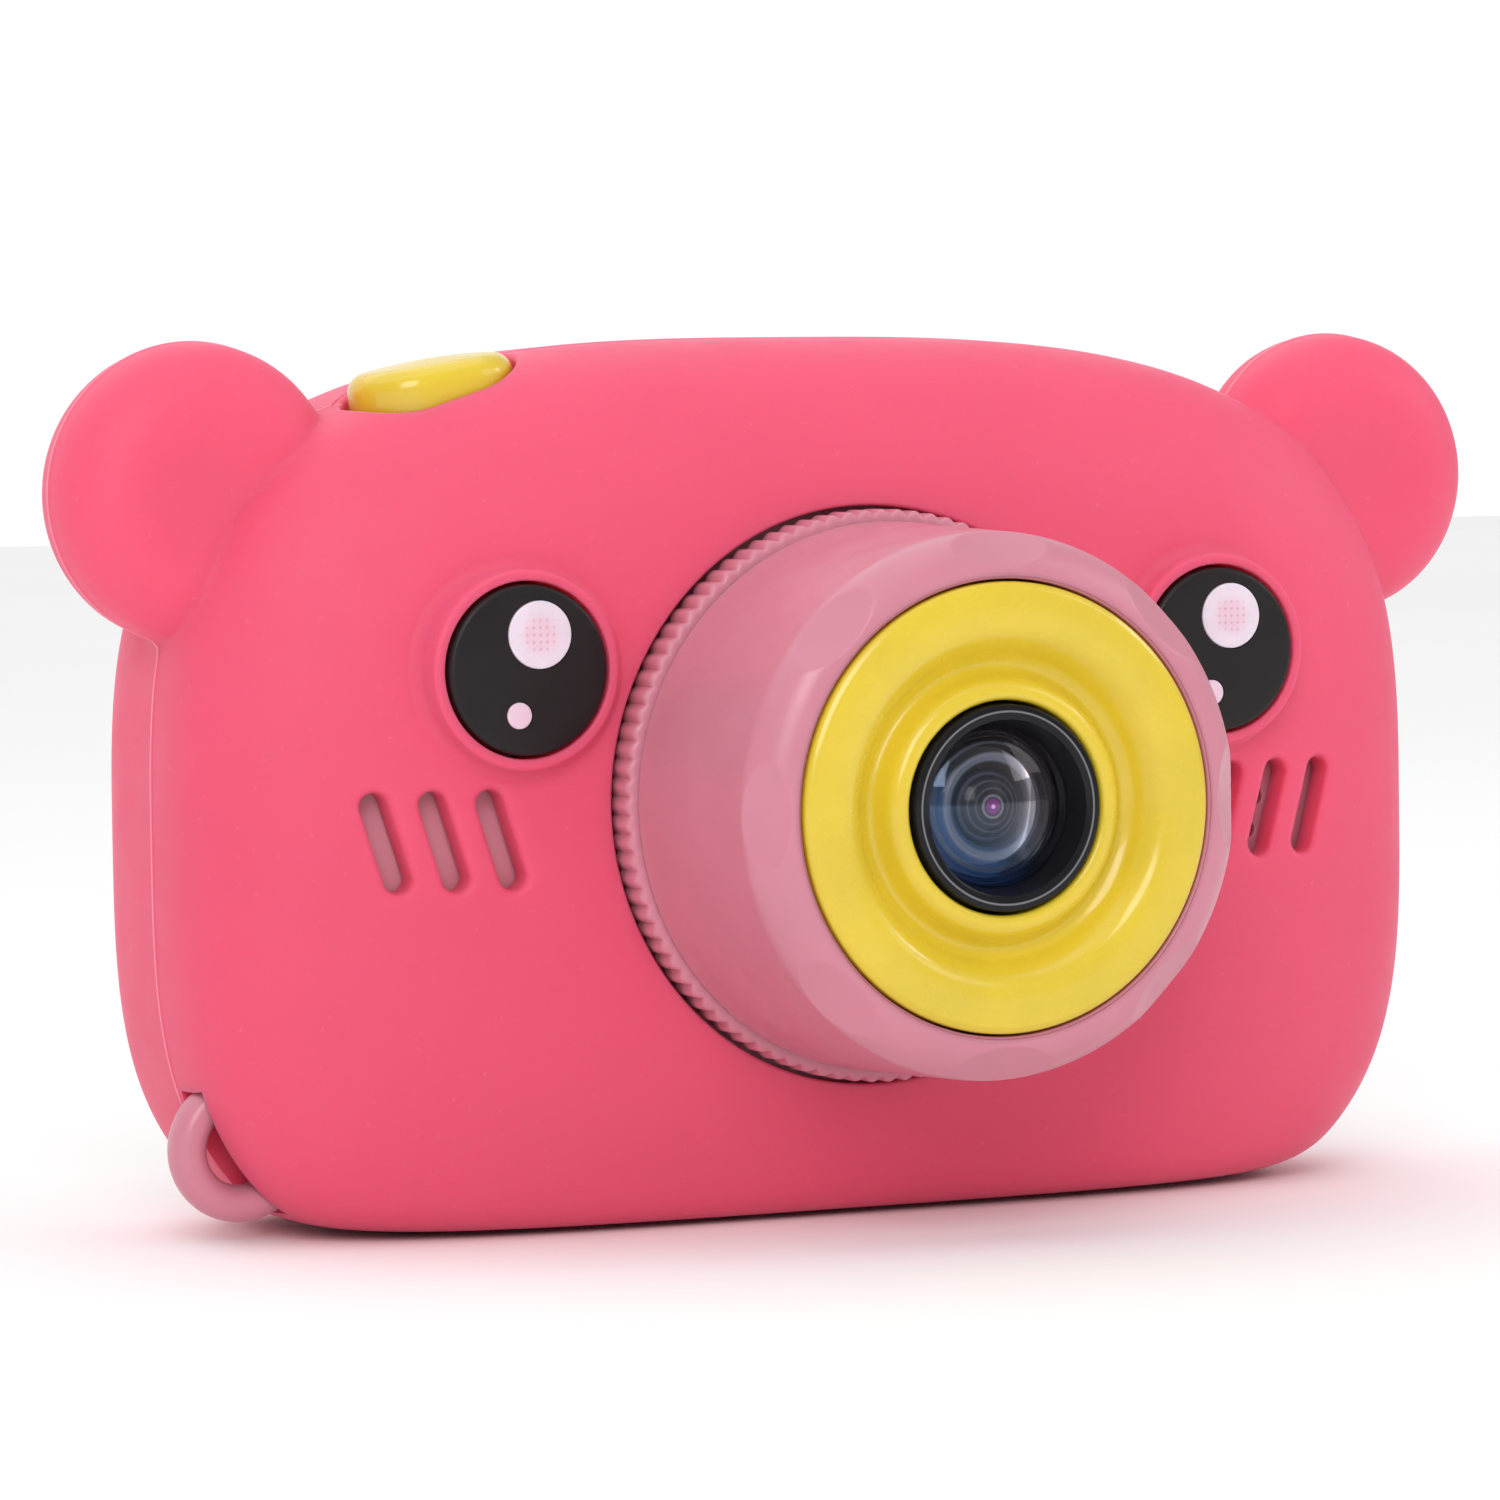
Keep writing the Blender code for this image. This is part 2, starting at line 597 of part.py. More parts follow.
def barrel_screw_places():
    """Centres of the screws that hold the lens barrel."""
    places = []
    for number in range(BARREL_SCREWS):
        angle = math.radians(90 + 360 / BARREL_SCREWS * number)
        places.append((BARREL_SCREW_CIRCLE * math.cos(angle),
                       LENS_Z + BARREL_SCREW_CIRCLE * math.sin(angle)))
    return places


def build_front_shell():
    """Front half of the hard shell, with the lanyard loop on its lower left corner."""
    shell = body_solid("front_shell", SHELL_INSET, PARTS)
    cut(shell, shell_cavity("front_cavity", AHEAD_Y, SPLIT_Y + POST_REACH))
    cut(shell, box("front_shell_trim", (0.0, SPLIT_Y - GAP / 2 + TRIM_SIZE / 2, WAIST_Z),
                   (TRIM_SIZE, TRIM_SIZE, TRIM_SIZE), CUTTERS))
    loop = loop_ring()
    join(shell, loop)
    cut(shell, rod("cable_hole", 0.0, LENS_Z, CABLE_HOLE_RADIUS, AHEAD_Y,
                   FRONT_BORE_END, CUTTERS))
    for number, (x, z) in enumerate(barrel_screw_places(), 1):
        cut(shell, rod(f"barrel_screw_hole_{number}", x, z, SCREW_SHAFT_RADIUS + GAP,
                       AHEAD_Y, FRONT_BORE_END, CUTTERS, SMALL_STEPS))
    for side, word in SIDES:
        cut(shell, rod("flash_hole_" + word, side * EYE_X + FLASH_OFFSET[0],
                       EYE_Z + FLASH_OFFSET[1], FLASH_RADIUS, AHEAD_Y, FRONT_BORE_END,
                       CUTTERS, SMALL_STEPS))
    slot_x = SLOT_XS[1]
    for number, shift in enumerate((0.5, -0.5), 1):
        reach = shift * SOUND_HOLE_SPACING
        cut(shell, rod(f"sound_hole_{number}", slot_x + reach * math.sin(SLOT_LEAN),
                       SLOT_Z - SOUND_HOLE_DROP + reach * math.cos(SLOT_LEAN), SOUND_HOLE_RADIUS,
                       AHEAD_Y, FRONT_BORE_END, CUTTERS, 12))
    cut(shell, shutter_prism("shell_shutter_hole", GAP, SHUTTER_CUT_TOP, -SHELL_SHUTTER_CUT, CUTTERS))
    screw_holes(shell, "front_pilot", SCREW_SHAFT_RADIUS + GAP, SCREW_TIP_Y - OVERCUT, SPLIT_Y + OVERCUT)
    return paint(shell, SHELL_PINK, 0.4)


def loop_ring():
    """The lanyard loop: a round ring standing across the corner."""
    bm = bmesh.new()
    profile = bmesh.ops.create_circle(bm, segments=12, radius=LOOP_THICKNESS / 2)["verts"]
    bmesh.ops.rotate(bm, verts=profile, matrix=Matrix.Rotation(math.pi / 2, 3, "X"))
    bmesh.ops.translate(bm, verts=profile, vec=(LOOP_RADIUS, 0.0, 0.0))
    bmesh.ops.spin(bm, geom=list(bm.verts) + list(bm.edges), axis=(0.0, 0.0, 1.0), cent=(0.0, 0.0, 0.0),
                   angle=math.tau, steps=28, use_merge=True)
    bmesh.ops.rotate(bm, verts=bm.verts, matrix=Matrix.Rotation(math.pi / 2, 3, "X"))
    bmesh.ops.recalc_face_normals(bm, faces=bm.faces)
    return make_object("lanyard_loop_ring", bm, CUTTERS, (LOOP_X, LOOP_Y, LOOP_Z))


def build_rear_shell():
    """Rear half of the hard shell, with the raised panel for the screen and the keys."""
    shell = body_solid("rear_shell", SHELL_INSET, PARTS)
    join(shell, panel_prism("raised_panel", 0.0, PANEL_ROOT_Y, PANEL_Y, CUTTERS))
    cut(shell, shell_cavity("rear_cavity", SPLIT_Y - POST_REACH, PANEL_Y))
    cut(shell, panel_prism("panel_room", -PANEL_SIDE_WALL, PANEL_ROOM_FRONT, PANEL_Y - PANEL_WALL, CUTTERS))
    cut(shell, box("rear_shell_trim", (0.0, SPLIT_Y + GAP / 2 - TRIM_SIZE / 2, WAIST_Z),
                   (TRIM_SIZE, TRIM_SIZE, TRIM_SIZE), CUTTERS))
    cut(shell, shutter_prism("rear_shutter_hole", GAP, SHUTTER_CUT_TOP, -SHELL_SHUTTER_CUT, CUTTERS))
    window = (WINDOW_SIZE[0] + 2 * GAP, WINDOW_SIZE[1] + 2 * GAP)
    cut(shell, slab("window_recess", SCREEN_X, SCREEN_Z, window,
                    PANEL_Y - WINDOW_THICKNESS - GAP, BEHIND_Y, CUTTERS, WINDOW_CORNER + GAP))
    cut(shell, slab("screen_aperture", SCREEN_X, SCREEN_Z, SCREEN_APERTURE,
                    PANEL_Y - PANEL_CUT_DEPTH, BEHIND_Y, CUTTERS, APERTURE_CORNER))
    for name, (x, z, radius) in REAR_KEYS.items():
        cut(shell, rod(name + "_key_hole", x, z, radius + KEY_CLEARANCE, PANEL_Y - PANEL_CUT_DEPTH,
                       BEHIND_Y, CUTTERS, KEY_STEPS))
    usb_y = PART_SEAT + USB_SIZE[1] / 2
    cut(shell, box("shell_usb_hole", (HALF_WIDTH, usb_y, USB_Z),
                   (PORT_CUT_DEPTH, PORT_HEIGHT, USB_SIZE[2] + USB_PORT_EXTRA), CUTTERS))
    card_y = PART_SEAT + CARD_SOCKET_SIZE[1] / 2
    cut(shell, box("shell_card_hole", (HALF_WIDTH, card_y, CARD_Z),
                   (PORT_CUT_DEPTH, PORT_HEIGHT, CARD_SIZE[2] + CARD_PORT_EXTRA), CUTTERS))
    screw_holes(shell, "rear_shaft_hole", SCREW_SHAFT_RADIUS + GAP, SPLIT_Y - OVERCUT, BEHIND_Y)
    screw_holes(shell, "head_pocket", SCREW_HEAD_RADIUS + GAP, SCREW_HEAD_Y - SCREW_HEAD_THICKNESS - GAP,
                BEHIND_Y)
    return paint(shell, SHELL_PINK, 0.4)


def build_barrel():
    """Hollow lens barrel with a rounded front edge, finger dimples and three screw bosses."""
    edge_y = BARREL_FRONT + BARREL_EDGE
    edge_radius = BARREL_FRONT_RADIUS - BARREL_EDGE
    seat = BEZEL_RADIUS + GAP
    inner = BARREL_FRONT_RADIUS - BARREL_WALL
    base_inner = BARREL_BASE_RADIUS - BARREL_WALL
    profile = [(seat, BARREL_FRONT)]
    profile += arc(edge_radius, edge_y, BARREL_EDGE, 85, 0, 8)
    profile += [
        (BARREL_BASE_RADIUS, GRIP_FRONT - GRIP_STEP),
        (GRIP_BORE - SNUG, GRIP_FRONT - GRIP_STEP),
        (GRIP_BORE - SNUG, BARREL_BACK),
        (base_inner - COLLAR_LIP, BARREL_BACK),
        (base_inner - COLLAR_LIP, GRIP_FRONT),
        (inner, BEZEL_SEAT_BACK + SEAT_TAPER),
        (inner - SEAT_LEDGE, BEZEL_SEAT_BACK),
        (TRIM_RADIUS + GAP, BEZEL_SEAT_BACK),
        (TRIM_RADIUS + GAP, BEZEL_BACK + GAP),
        (seat, BEZEL_BACK + GAP),
    ]
    barrel = turned("lens_barrel", 0.0, LENS_Z, profile, True, PARTS, BARREL_STEPS)
    for number, (x, z) in enumerate(barrel_screw_places(), 1):
        join(barrel, rod(f"barrel_boss_{number}", x, z, BARREL_BOSS_RADIUS, BARREL_BOSS_FRONT,
                         BARREL_BACK, CUTTERS, SMALL_STEPS))
        cut(barrel, rod(f"barrel_pilot_{number}", x, z, SCREW_SHAFT_RADIUS + GAP,
                        BARREL_PILOT_FRONT, BARREL_BACK + OVERCUT, CUTTERS, SMALL_STEPS))
    lean = math.sqrt(0.5)
    reach = DIMPLE_SPHERE - DIMPLE_DEPTH + BARREL_EDGE
    for number in range(DIMPLES):
        angle = math.tau * number / DIMPLES
        bm = bmesh.new()
        bmesh.ops.create_icosphere(bm, subdivisions=4, radius=DIMPLE_SPHERE)
        distance = edge_radius + reach * lean
        place = (distance * math.cos(angle), edge_y - reach * lean, LENS_Z + distance * math.sin(angle))
        cut(barrel, make_object(f"dimple_{number + 1}", bm, CUTTERS, place))
    return paint(barrel, SHELL_PINK, 0.38)


def build_grip_ring():
    """Ring of fine ribs round the foot of the barrel."""
    middle = GRIP_OUTER - GRIP_RIB_HEIGHT / 2

    def point_at(angle):
        radius = middle + GRIP_RIB_HEIGHT / 2 * math.cos(GRIP_RIBS * angle)
        return radius * math.cos(angle), radius * math.sin(angle)

    ring = outline_prism("barrel_grip_ring", point_at, 2 * GRIP_RIBS, GRIP_FRONT, GRIP_BACK,
                         PARTS, (0.0, 0.0, LENS_Z))
    cut(ring, rod("grip_bore", 0.0, LENS_Z, GRIP_BORE, GRIP_FRONT - OVERCUT, GRIP_BACK + OVERCUT,
                  CUTTERS, BARREL_STEPS))
    return paint(ring, SHELL_PINK, 0.42)


def build_bezel():
    """Yellow ring: a rounded outer land, a hollow, and a raised inner lip."""
    bore = TRIM_RADIUS + GAP
    profile = arc(BEZEL_RADIUS - BEZEL_CORNER, BEZEL_FRONT + BEZEL_EDGE_DROP, BEZEL_CORNER, 60, 0, 3)
    profile += [(BEZEL_RADIUS, BEZEL_BACK), (bore, BEZEL_BACK)]
    profile += [
        *((radius, BEZEL_FRONT + sink) for radius, sink in BEZEL_DISH),
    ]
    bezel = turned("lens_bezel_ring", 0.0, LENS_Z, profile, True, PARTS, BARREL_STEPS)
    return paint(bezel, YELLOW, 0.3)


def build_optics():
    """Black trim ring, clear dome, rear lens, holder and image sensor board."""
    throat = DOME_RADIUS - DOME_LEDGE
    profile = [
        (TRIM_RADIUS - TRIM_CORNER, TRIM_FRONT),
        (TRIM_RADIUS, TRIM_FRONT + TRIM_CORNER),
        (TRIM_RADIUS, TRIM_BACK),
        (throat, TRIM_BACK),
        (throat, DOME_SEAT_Y),
        (DOME_RADIUS + GAP, DOME_SEAT_Y),
        (DOME_RADIUS + GAP, DOME_EDGE_Y - DOME_RECESS),
        (TRIM_RADIUS - TRIM_LAND, TRIM_FRONT),
    ]
    paint(turned("lens_trim_ring", 0.0, LENS_Z, profile, True, PARTS, 36), BLACK, 0.25)
    sphere = (DOME_RADIUS ** 2 + DOME_RISE ** 2) / (2 * DOME_RISE)
    half = math.degrees(math.asin(DOME_RADIUS / sphere))
    profile = arc(0.0, DOME_EDGE_Y - DOME_RISE + sphere, sphere, 90, 90 - half, 7)
    profile[0] = (0.0, DOME_EDGE_Y - DOME_RISE)
    profile += [(DOME_RADIUS, DOME_BACK), (0.0, DOME_BACK)]
    window = turned("lens_window", 0.0, LENS_Z, profile, False, PARTS, ROUND_STEPS)
    paint(window, GLASS_TINT, 0.02, 0.0, 1.0)
    profile = [(radius, ELEMENT_FRONT + sink) for radius, sink in ELEMENT_PROFILE]
    element = turned("lens_element", 0.0, LENS_Z, profile, False, PARTS, ROUND_STEPS)
    paint(element, VIOLET, 0.05)
    holder_front = TRIM_BACK + GAP
    holder = slab("lens_holder", 0.0, LENS_Z, HOLDER_SIZE, holder_front,
                  holder_front + HOLDER_DEPTH, PARTS, HOLDER_CORNER)
    cut(holder, rod("holder_bore", 0.0, LENS_Z, HOLDER_BORE, holder_front - OVERCUT,
                    holder_front + HOLDER_DEPTH + OVERCUT, CUTTERS))
    paint(holder, BLACK, 0.5)
    board_front = holder_front + HOLDER_DEPTH + GAP
    sensor = slab("sensor_board", 0.0, LENS_Z, SENSOR_BOARD_SIZE, board_front,
                  board_front + SMALL_BOARD_THICKNESS, PARTS, SENSOR_BOARD_CORNER)
    paint(sensor, (0.02, 0.12, 0.05), 0.5)
    for number, (x, z) in enumerate(barrel_screw_places(), 1):
        build_screw(f"barrel_screw_{number}", x, z, BARREL_SCREW_HEAD_Y, BARREL_SCREW_TIP_Y)


def build_screw(name, x, z, head_back, tip):
    """A pan-head screw along Y whose head faces the back."""
    under = head_back - SCREW_HEAD_THICKNESS
    profile = [
        (0.0, tip),
        (SCREW_SHAFT_RADIUS, tip + SCREW_POINT),
        (SCREW_SHAFT_RADIUS, under),
        (SCREW_HEAD_RADIUS, under),
        (SCREW_HEAD_RADIUS, head_back - SCREW_HEAD_CORNER),
        (SCREW_HEAD_RADIUS - SCREW_HEAD_CORNER, head_back),
        (0.0, head_back),
    ]
    paint(turned(name, x, z, profile, False, PARTS, 16), (0.55, 0.55, 0.57), 0.3, 1.0)


def build_eyes():
    """Black eye discs, each with a frosted flash diffuser, a small glint and an LED behind."""
    for side, word in SIDES:
        disc = rod("eye_disc_" + word, side * EYE_X, EYE_Z, EYE_RADIUS, EYE_FRONT, EYE_BACK, PARTS, 36)
        flash = (side * EYE_X + FLASH_OFFSET[0], EYE_Z + FLASH_OFFSET[1])
        glint = (side * EYE_X + GLINT_OFFSET[0], EYE_Z + GLINT_OFFSET[1])
        cut(disc, rod("flash_bore_" + word, *flash, FLASH_RADIUS + SNUG, EYE_FRONT - OVERCUT,
                      EYE_BACK + OVERCUT, CUTTERS))
        cut(disc, rod("glint_pocket_" + word, *glint, GLINT_RADIUS + SNUG, EYE_FRONT - OVERCUT,
                      EYE_FRONT + GLINT_DEPTH + SNUG, CUTTERS, SMALL_STEPS))
        paint(disc, BLACK, 0.25)
        diffuser = rod("flash_diffuser_" + word, *flash, FLASH_RADIUS, EYE_FRONT - INLAY_PROUD,
                       EYE_BACK, PARTS)
        paint(diffuser, (0.78, 0.66, 0.74), 0.5)
        dot = rod("eye_glint_" + word, *glint, GLINT_RADIUS, EYE_FRONT - INLAY_PROUD,
                  EYE_FRONT + GLINT_DEPTH, PARTS, SMALL_STEPS)
        paint(dot, (0.78, 0.66, 0.74), 0.5)
        led = slab("flash_led_" + word, *flash, LED_SIZE, LED_FRONT,
                   LED_FRONT + LED_THICKNESS, PARTS, LED_CORNER)
        paint(led, (0.9, 0.85, 0.5), 0.4)


def build_shutter():
    """Shutter button with its stem and retaining plate, and the switch under it."""
    button = shutter_prism("shutter_button", 0.0, 0.0, -SHUTTER_SKIRT, PARTS)
    bevel = button.modifiers.new("Soft edge", "BEVEL")
    bevel.width = SHUTTER_BEVEL
    bevel.segments = 3
    bevel.limit_method = "ANGLE"
    frame = Matrix.Rotation(SHUTTER_TILT, 4, "Y")

    def placed(obj):
        obj.data.transform(frame)
        obj.location = (SHUTTER_X, SHUTTER_Y, SHUTTER_TOP_Z)
        return obj

    def upright_rod(name, radius, top, bottom, group, shift=0.0):
        bm = bmesh.new()
        centre = Matrix.Translation((shift, 0.0, (top + bottom) / 2))
        bmesh.ops.create_cone(bm, cap_ends=True, segments=SMALL_STEPS, radius1=radius, radius2=radius,
                              depth=top - bottom, matrix=centre)
        return placed(make_object(name, bm, group))

    def upright_box(name, size, top, bottom, group):
        bm = bmesh.new()
        bmesh.ops.create_cube(bm, size=1.0)
        bmesh.ops.scale(bm, verts=bm.verts, vec=(size[0], size[1], top - bottom))
        bmesh.ops.translate(bm, verts=bm.verts, vec=(0.0, 0.0, (top + bottom) / 2))
        return placed(make_object(name, bm, group, smooth=False))

    join(button, upright_rod("shutter_stem", SHUTTER_STEM_RADIUS, -SHUTTER_SKIRT + OVERCUT,
                             SHUTTER_STEM_END, CUTTERS))
    join(button, upright_box("shutter_plate", SHUTTER_PLATE_SIZE, SHUTTER_PLATE_TOP,
                             SHUTTER_PLATE_TOP - SHUTTER_PLATE_THICKNESS, CUTTERS))
    paint(button, YELLOW, 0.25)
    switch_top = SHUTTER_STEM_END - SHUTTER_TRAVEL - GAP
    switch = upright_box("shutter_switch", (SWITCH_SIDE, SWITCH_SIDE), switch_top - PLUNGER_STAND,
                         switch_top - SHUTTER_SWITCH_HEIGHT, PARTS)
    join(switch, upright_rod("shutter_plunger", SWITCH_PLUNGER_RADIUS, switch_top,
                             switch_top - PLUNGER_ROOT, CUTTERS))
    paint(switch, (0.15, 0.15, 0.16), 0.5)
    board_top = switch_top - SHUTTER_SWITCH_HEIGHT - GAP
    board = upright_box("shutter_board", SHUTTER_BOARD_SIZE, board_top,
                        board_top - SMALL_BOARD_THICKNESS, PARTS)
    paint(board, (0.02, 0.12, 0.05), 0.5)


def build_keys():
    """Rear keys that slide in the panel, each over its own switch on the board."""
    for name, (x, z, radius) in REAR_KEYS.items():
        flange = radius + KEY_FLANGE_LIP
        profile = [
            (0.0, KEY_STEM_END),
            (KEY_STEM_RADIUS, KEY_STEM_END),
            (KEY_STEM_RADIUS, KEY_FLANGE_BACK - KEY_FLANGE_THICKNESS),
            (flange, KEY_FLANGE_BACK - KEY_FLANGE_THICKNESS),
            (flange, KEY_FLANGE_BACK),
            (radius, KEY_FLANGE_BACK),
            (radius, KEY_TOP_Y - KEY_BEVEL),
            (radius - KEY_BEVEL, KEY_TOP_Y),
            (0.0, KEY_TOP_Y),
        ]
        key = turned(name + "_button", x, z, profile, False, PARTS, KEY_STEPS)
        paint(key, YELLOW, 0.3)
        top = PART_SEAT + SWITCH_HEIGHT
        switch = slab(name + "_switch", x, z, (SWITCH_SIDE, SWITCH_SIDE), PART_SEAT, top, PARTS)
        join(switch, rod(name + "_plunger", x, z, SWITCH_PLUNGER_RADIUS, top - PLUNGER_SINK,
                         top + SWITCH_PLUNGER_HEIGHT, CUTTERS, 12))
        paint(switch, (0.15, 0.15, 0.16), 0.5)


def build_screen():
    """Clear window, gasket and display panel."""
    window = slab("lcd_window", SCREEN_X, SCREEN_Z, WINDOW_SIZE, PANEL_Y - WINDOW_THICKNESS, PANEL_Y,
                  PARTS, WINDOW_CORNER)
    paint(window, (0.03, 0.03, 0.035), 0.08)
    lcd_top = LCD_BACK + LCD_THICKNESS
    paint(slab("lcd_panel", SCREEN_X, SCREEN_Z, LCD_SIZE, LCD_BACK, lcd_top, PARTS), (0.05, 0.06, 0.08), 0.2)
    seat = lcd_top + GAP
    gasket = slab("lcd_gasket", SCREEN_X, SCREEN_Z, LCD_SIZE, seat, seat + GASKET_THICKNESS, PARTS)
    cut(gasket, slab("gasket_window", SCREEN_X, SCREEN_Z, SCREEN_APERTURE, seat - OVERCUT,
                     seat + OVERCUT, CUTTERS))
    paint(gasket, (0.03, 0.03, 0.03), 0.9)


def open_socket(name, size, z, colour, hollow):
    """A thin-walled socket on the board, open towards the right side."""
    x = SIDE_INNER_X - size[0] / 2
    y = PART_SEAT + size[1] / 2
    socket = box(name, (x, y, z), size, PARTS)
    cut(socket, box(name + "_mouth", (x + SOCKET_BACK_WALL, y, z),
                    (size[0], hollow[0], hollow[1]), CUTTERS))
    return paint(socket, colour, 0.3, 1.0)


def build_board():
    """Main board with the sockets, card and microphone."""
    board = slab("main_board", 0.0, BOARD_Z, BOARD_SIZE, BOARD_FRONT, BOARD_BACK, PARTS, MAIN_BOARD_CORNER)
    paint(board, (0.02, 0.12, 0.05), 0.5)
    steel = (0.6, 0.6, 0.62)
    open_socket("usb_socket", USB_SIZE, USB_Z, steel,
                (USB_SIZE[1] - 2 * SOCKET_WALL, USB_SIZE[2] - 2 * SOCKET_WALL))
    open_socket("card_socket", CARD_SOCKET_SIZE, CARD_Z, steel,
                (CARD_SIZE[1] + 2 * CARD_PLAY[0], CARD_SIZE[2] + 2 * CARD_PLAY[1]))
    card_x = SIDE_INNER_X - CARD_SOCKET_SIZE[0] + CARD_REST + CARD_SIZE[0] / 2
    card = box("memory_card", (card_x, PART_SEAT + CARD_SOCKET_SIZE[1] / 2, CARD_Z), CARD_SIZE, PARTS)
    paint(card, (0.02, 0.02, 0.02), 0.4)
    microphone = rod("microphone", *MICROPHONE_SPOT, MICROPHONE_RADIUS, BOARD_FRONT - GAP - MICROPHONE_HEIGHT,
                     BOARD_FRONT - GAP, PARTS, SMALL_STEPS)
    paint(microphone, (0.6, 0.6, 0.62), 0.3, 1.0)


def build_power():
    """Battery with its foam pad, and the speaker with its gasket."""
    back = BATTERY_FRONT + BATTERY_SIZE[1]
    face = (BATTERY_SIZE[0], BATTERY_SIZE[2])
    cell = slab("battery", 0.0, BATTERY_Z, face, BATTERY_FRONT, back, PARTS, BATTERY_CORNER)
    paint(cell, FOIL_GREY, 0.4)
    pad = slab("battery_pad", 0.0, BATTERY_Z, BATTERY_PAD_SIZE, BATTERY_FRONT - GAP - BATTERY_PAD_THICKNESS,
               BATTERY_FRONT - GAP, PARTS)
    paint(pad, (0.05, 0.05, 0.05), 0.95)
    speaker_x = SLOT_XS[1]
    speaker = rod("speaker", speaker_x, SLOT_Z, SPEAKER_RADIUS, SPEAKER_FRONT,
                  SPEAKER_FRONT + SPEAKER_THICKNESS, PARTS)
    paint(speaker, (0.08, 0.08, 0.085), 0.6)
    front = SPEAKER_FRONT - GAP - SPEAKER_GASKET_THICKNESS
    gasket = rod("speaker_gasket", speaker_x, SLOT_Z, SPEAKER_GASKET_RADIUS, front,
                 front + SPEAKER_GASKET_THICKNESS, PARTS)
    cut(gasket, rod("speaker_gasket_hole", speaker_x, SLOT_Z, SPEAKER_GASKET_BORE,
                    front - OVERCUT, front + OVERCUT, CUTTERS))
    paint(gasket, (0.03, 0.03, 0.03), 0.95)


def build_case_screws():
    """Four screws that hold the shell halves together, under the soft cover."""
    for side, word in SIDES:
        for number, z in enumerate(SCREW_ZS, 1):
            build_screw(f"case_screw_{word}_{number}", side * SCREW_X, z, SCREW_HEAD_Y, SCREW_TIP_Y)


SIDES = ((-1, "left"), (1, "right"))
PARTS, CUTTERS = reset_scene()
build_cover()
build_front_shell()
build_rear_shell()
build_barrel()
build_grip_ring()
build_bezel()
build_optics()
build_eyes()
build_shutter()
build_keys()
build_screen()
build_board()
build_power()
build_case_screws()
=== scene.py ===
"""Looks of a children's camera in a soft bear-shaped cover.

The file is laid out as an add-on and is run as a script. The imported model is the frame, and each
operator makes one piece, or a group of like pieces, around it. Lengths are in metres, +Z is up,
the lens looks along -Y and +X is to the right as seen from the front.
"""
import json
import math

import bpy
import numpy as np
from bpy.props import FloatProperty, FloatVectorProperty, IntProperty, PointerProperty
from bpy.types import Operator, Panel, PropertyGroup
from mathutils import Matrix, Vector


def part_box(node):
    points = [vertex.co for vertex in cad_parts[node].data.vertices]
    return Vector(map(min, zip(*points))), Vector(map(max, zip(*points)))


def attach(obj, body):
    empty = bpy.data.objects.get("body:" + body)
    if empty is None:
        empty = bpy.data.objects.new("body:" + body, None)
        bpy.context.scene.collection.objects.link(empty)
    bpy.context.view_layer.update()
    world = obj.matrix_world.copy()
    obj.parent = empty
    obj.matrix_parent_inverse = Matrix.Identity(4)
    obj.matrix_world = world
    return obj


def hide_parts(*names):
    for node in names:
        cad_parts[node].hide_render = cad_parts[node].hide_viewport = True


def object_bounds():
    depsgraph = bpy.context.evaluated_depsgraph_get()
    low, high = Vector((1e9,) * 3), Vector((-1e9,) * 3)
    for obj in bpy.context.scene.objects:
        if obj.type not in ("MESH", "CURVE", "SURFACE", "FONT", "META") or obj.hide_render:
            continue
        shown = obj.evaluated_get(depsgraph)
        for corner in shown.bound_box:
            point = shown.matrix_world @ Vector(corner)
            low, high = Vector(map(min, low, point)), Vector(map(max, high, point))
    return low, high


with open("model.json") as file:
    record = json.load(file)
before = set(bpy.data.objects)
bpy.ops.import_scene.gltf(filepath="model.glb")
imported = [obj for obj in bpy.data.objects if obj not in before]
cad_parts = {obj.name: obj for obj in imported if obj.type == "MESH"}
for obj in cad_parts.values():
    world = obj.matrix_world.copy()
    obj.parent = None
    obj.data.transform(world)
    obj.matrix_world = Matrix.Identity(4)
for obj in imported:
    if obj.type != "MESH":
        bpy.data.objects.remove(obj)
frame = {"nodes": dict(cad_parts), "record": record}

bl_info = {
    "name": "Bear Camera",
    "version": (1, 0, 0),
    "blender": (4, 5, 0),
    "location": "3D View > Sidebar > Bear Camera",
    "description": "Makes a children's camera in a soft bear-shaped cover, piece by piece",
    "category": "Object",
}

MM = 0.001
CAD_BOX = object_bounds()
NODES = frame["nodes"]
KEYS = ("power", "up", "down", "left", "right", "ok", "mode", "playback")
SIDES = ((-1, "left"), (1, "right"))


def corners(node):
    """Lowest and highest corners of a CAD node as arrays."""
    low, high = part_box(node)
    return np.array(low), np.array(high)


def centre(node):
    """Middle of a CAD node's box."""
    low, high = corners(node)
    return (low + high) / 2


def axis_of(node):
    """X and Z of the axis along Y through a CAD node's middle."""
    return tuple(centre(node)[[0, 2]])


# Places read from the frame
BARREL_LOW, BARREL_HIGH = corners("lens_barrel")
BEZEL_LOW, BEZEL_HIGH = corners("lens_bezel_ring")
GRIP_LOW, GRIP_HIGH = corners("barrel_grip_ring")
LENS_Z = centre("lens_bezel_ring")[2]
BEZEL_RADIUS = (BEZEL_HIGH[0] - BEZEL_LOW[0]) / 2
PANEL_Y = corners("lcd_window")[1][1]
FACE_Y = BARREL_LOW[1] + 19.6 * MM
PARTING_Y = FACE_Y + 15.0 * MM
SPLIT_Y = FACE_Y + 16.0 * MM
GAP = 0.3 * MM

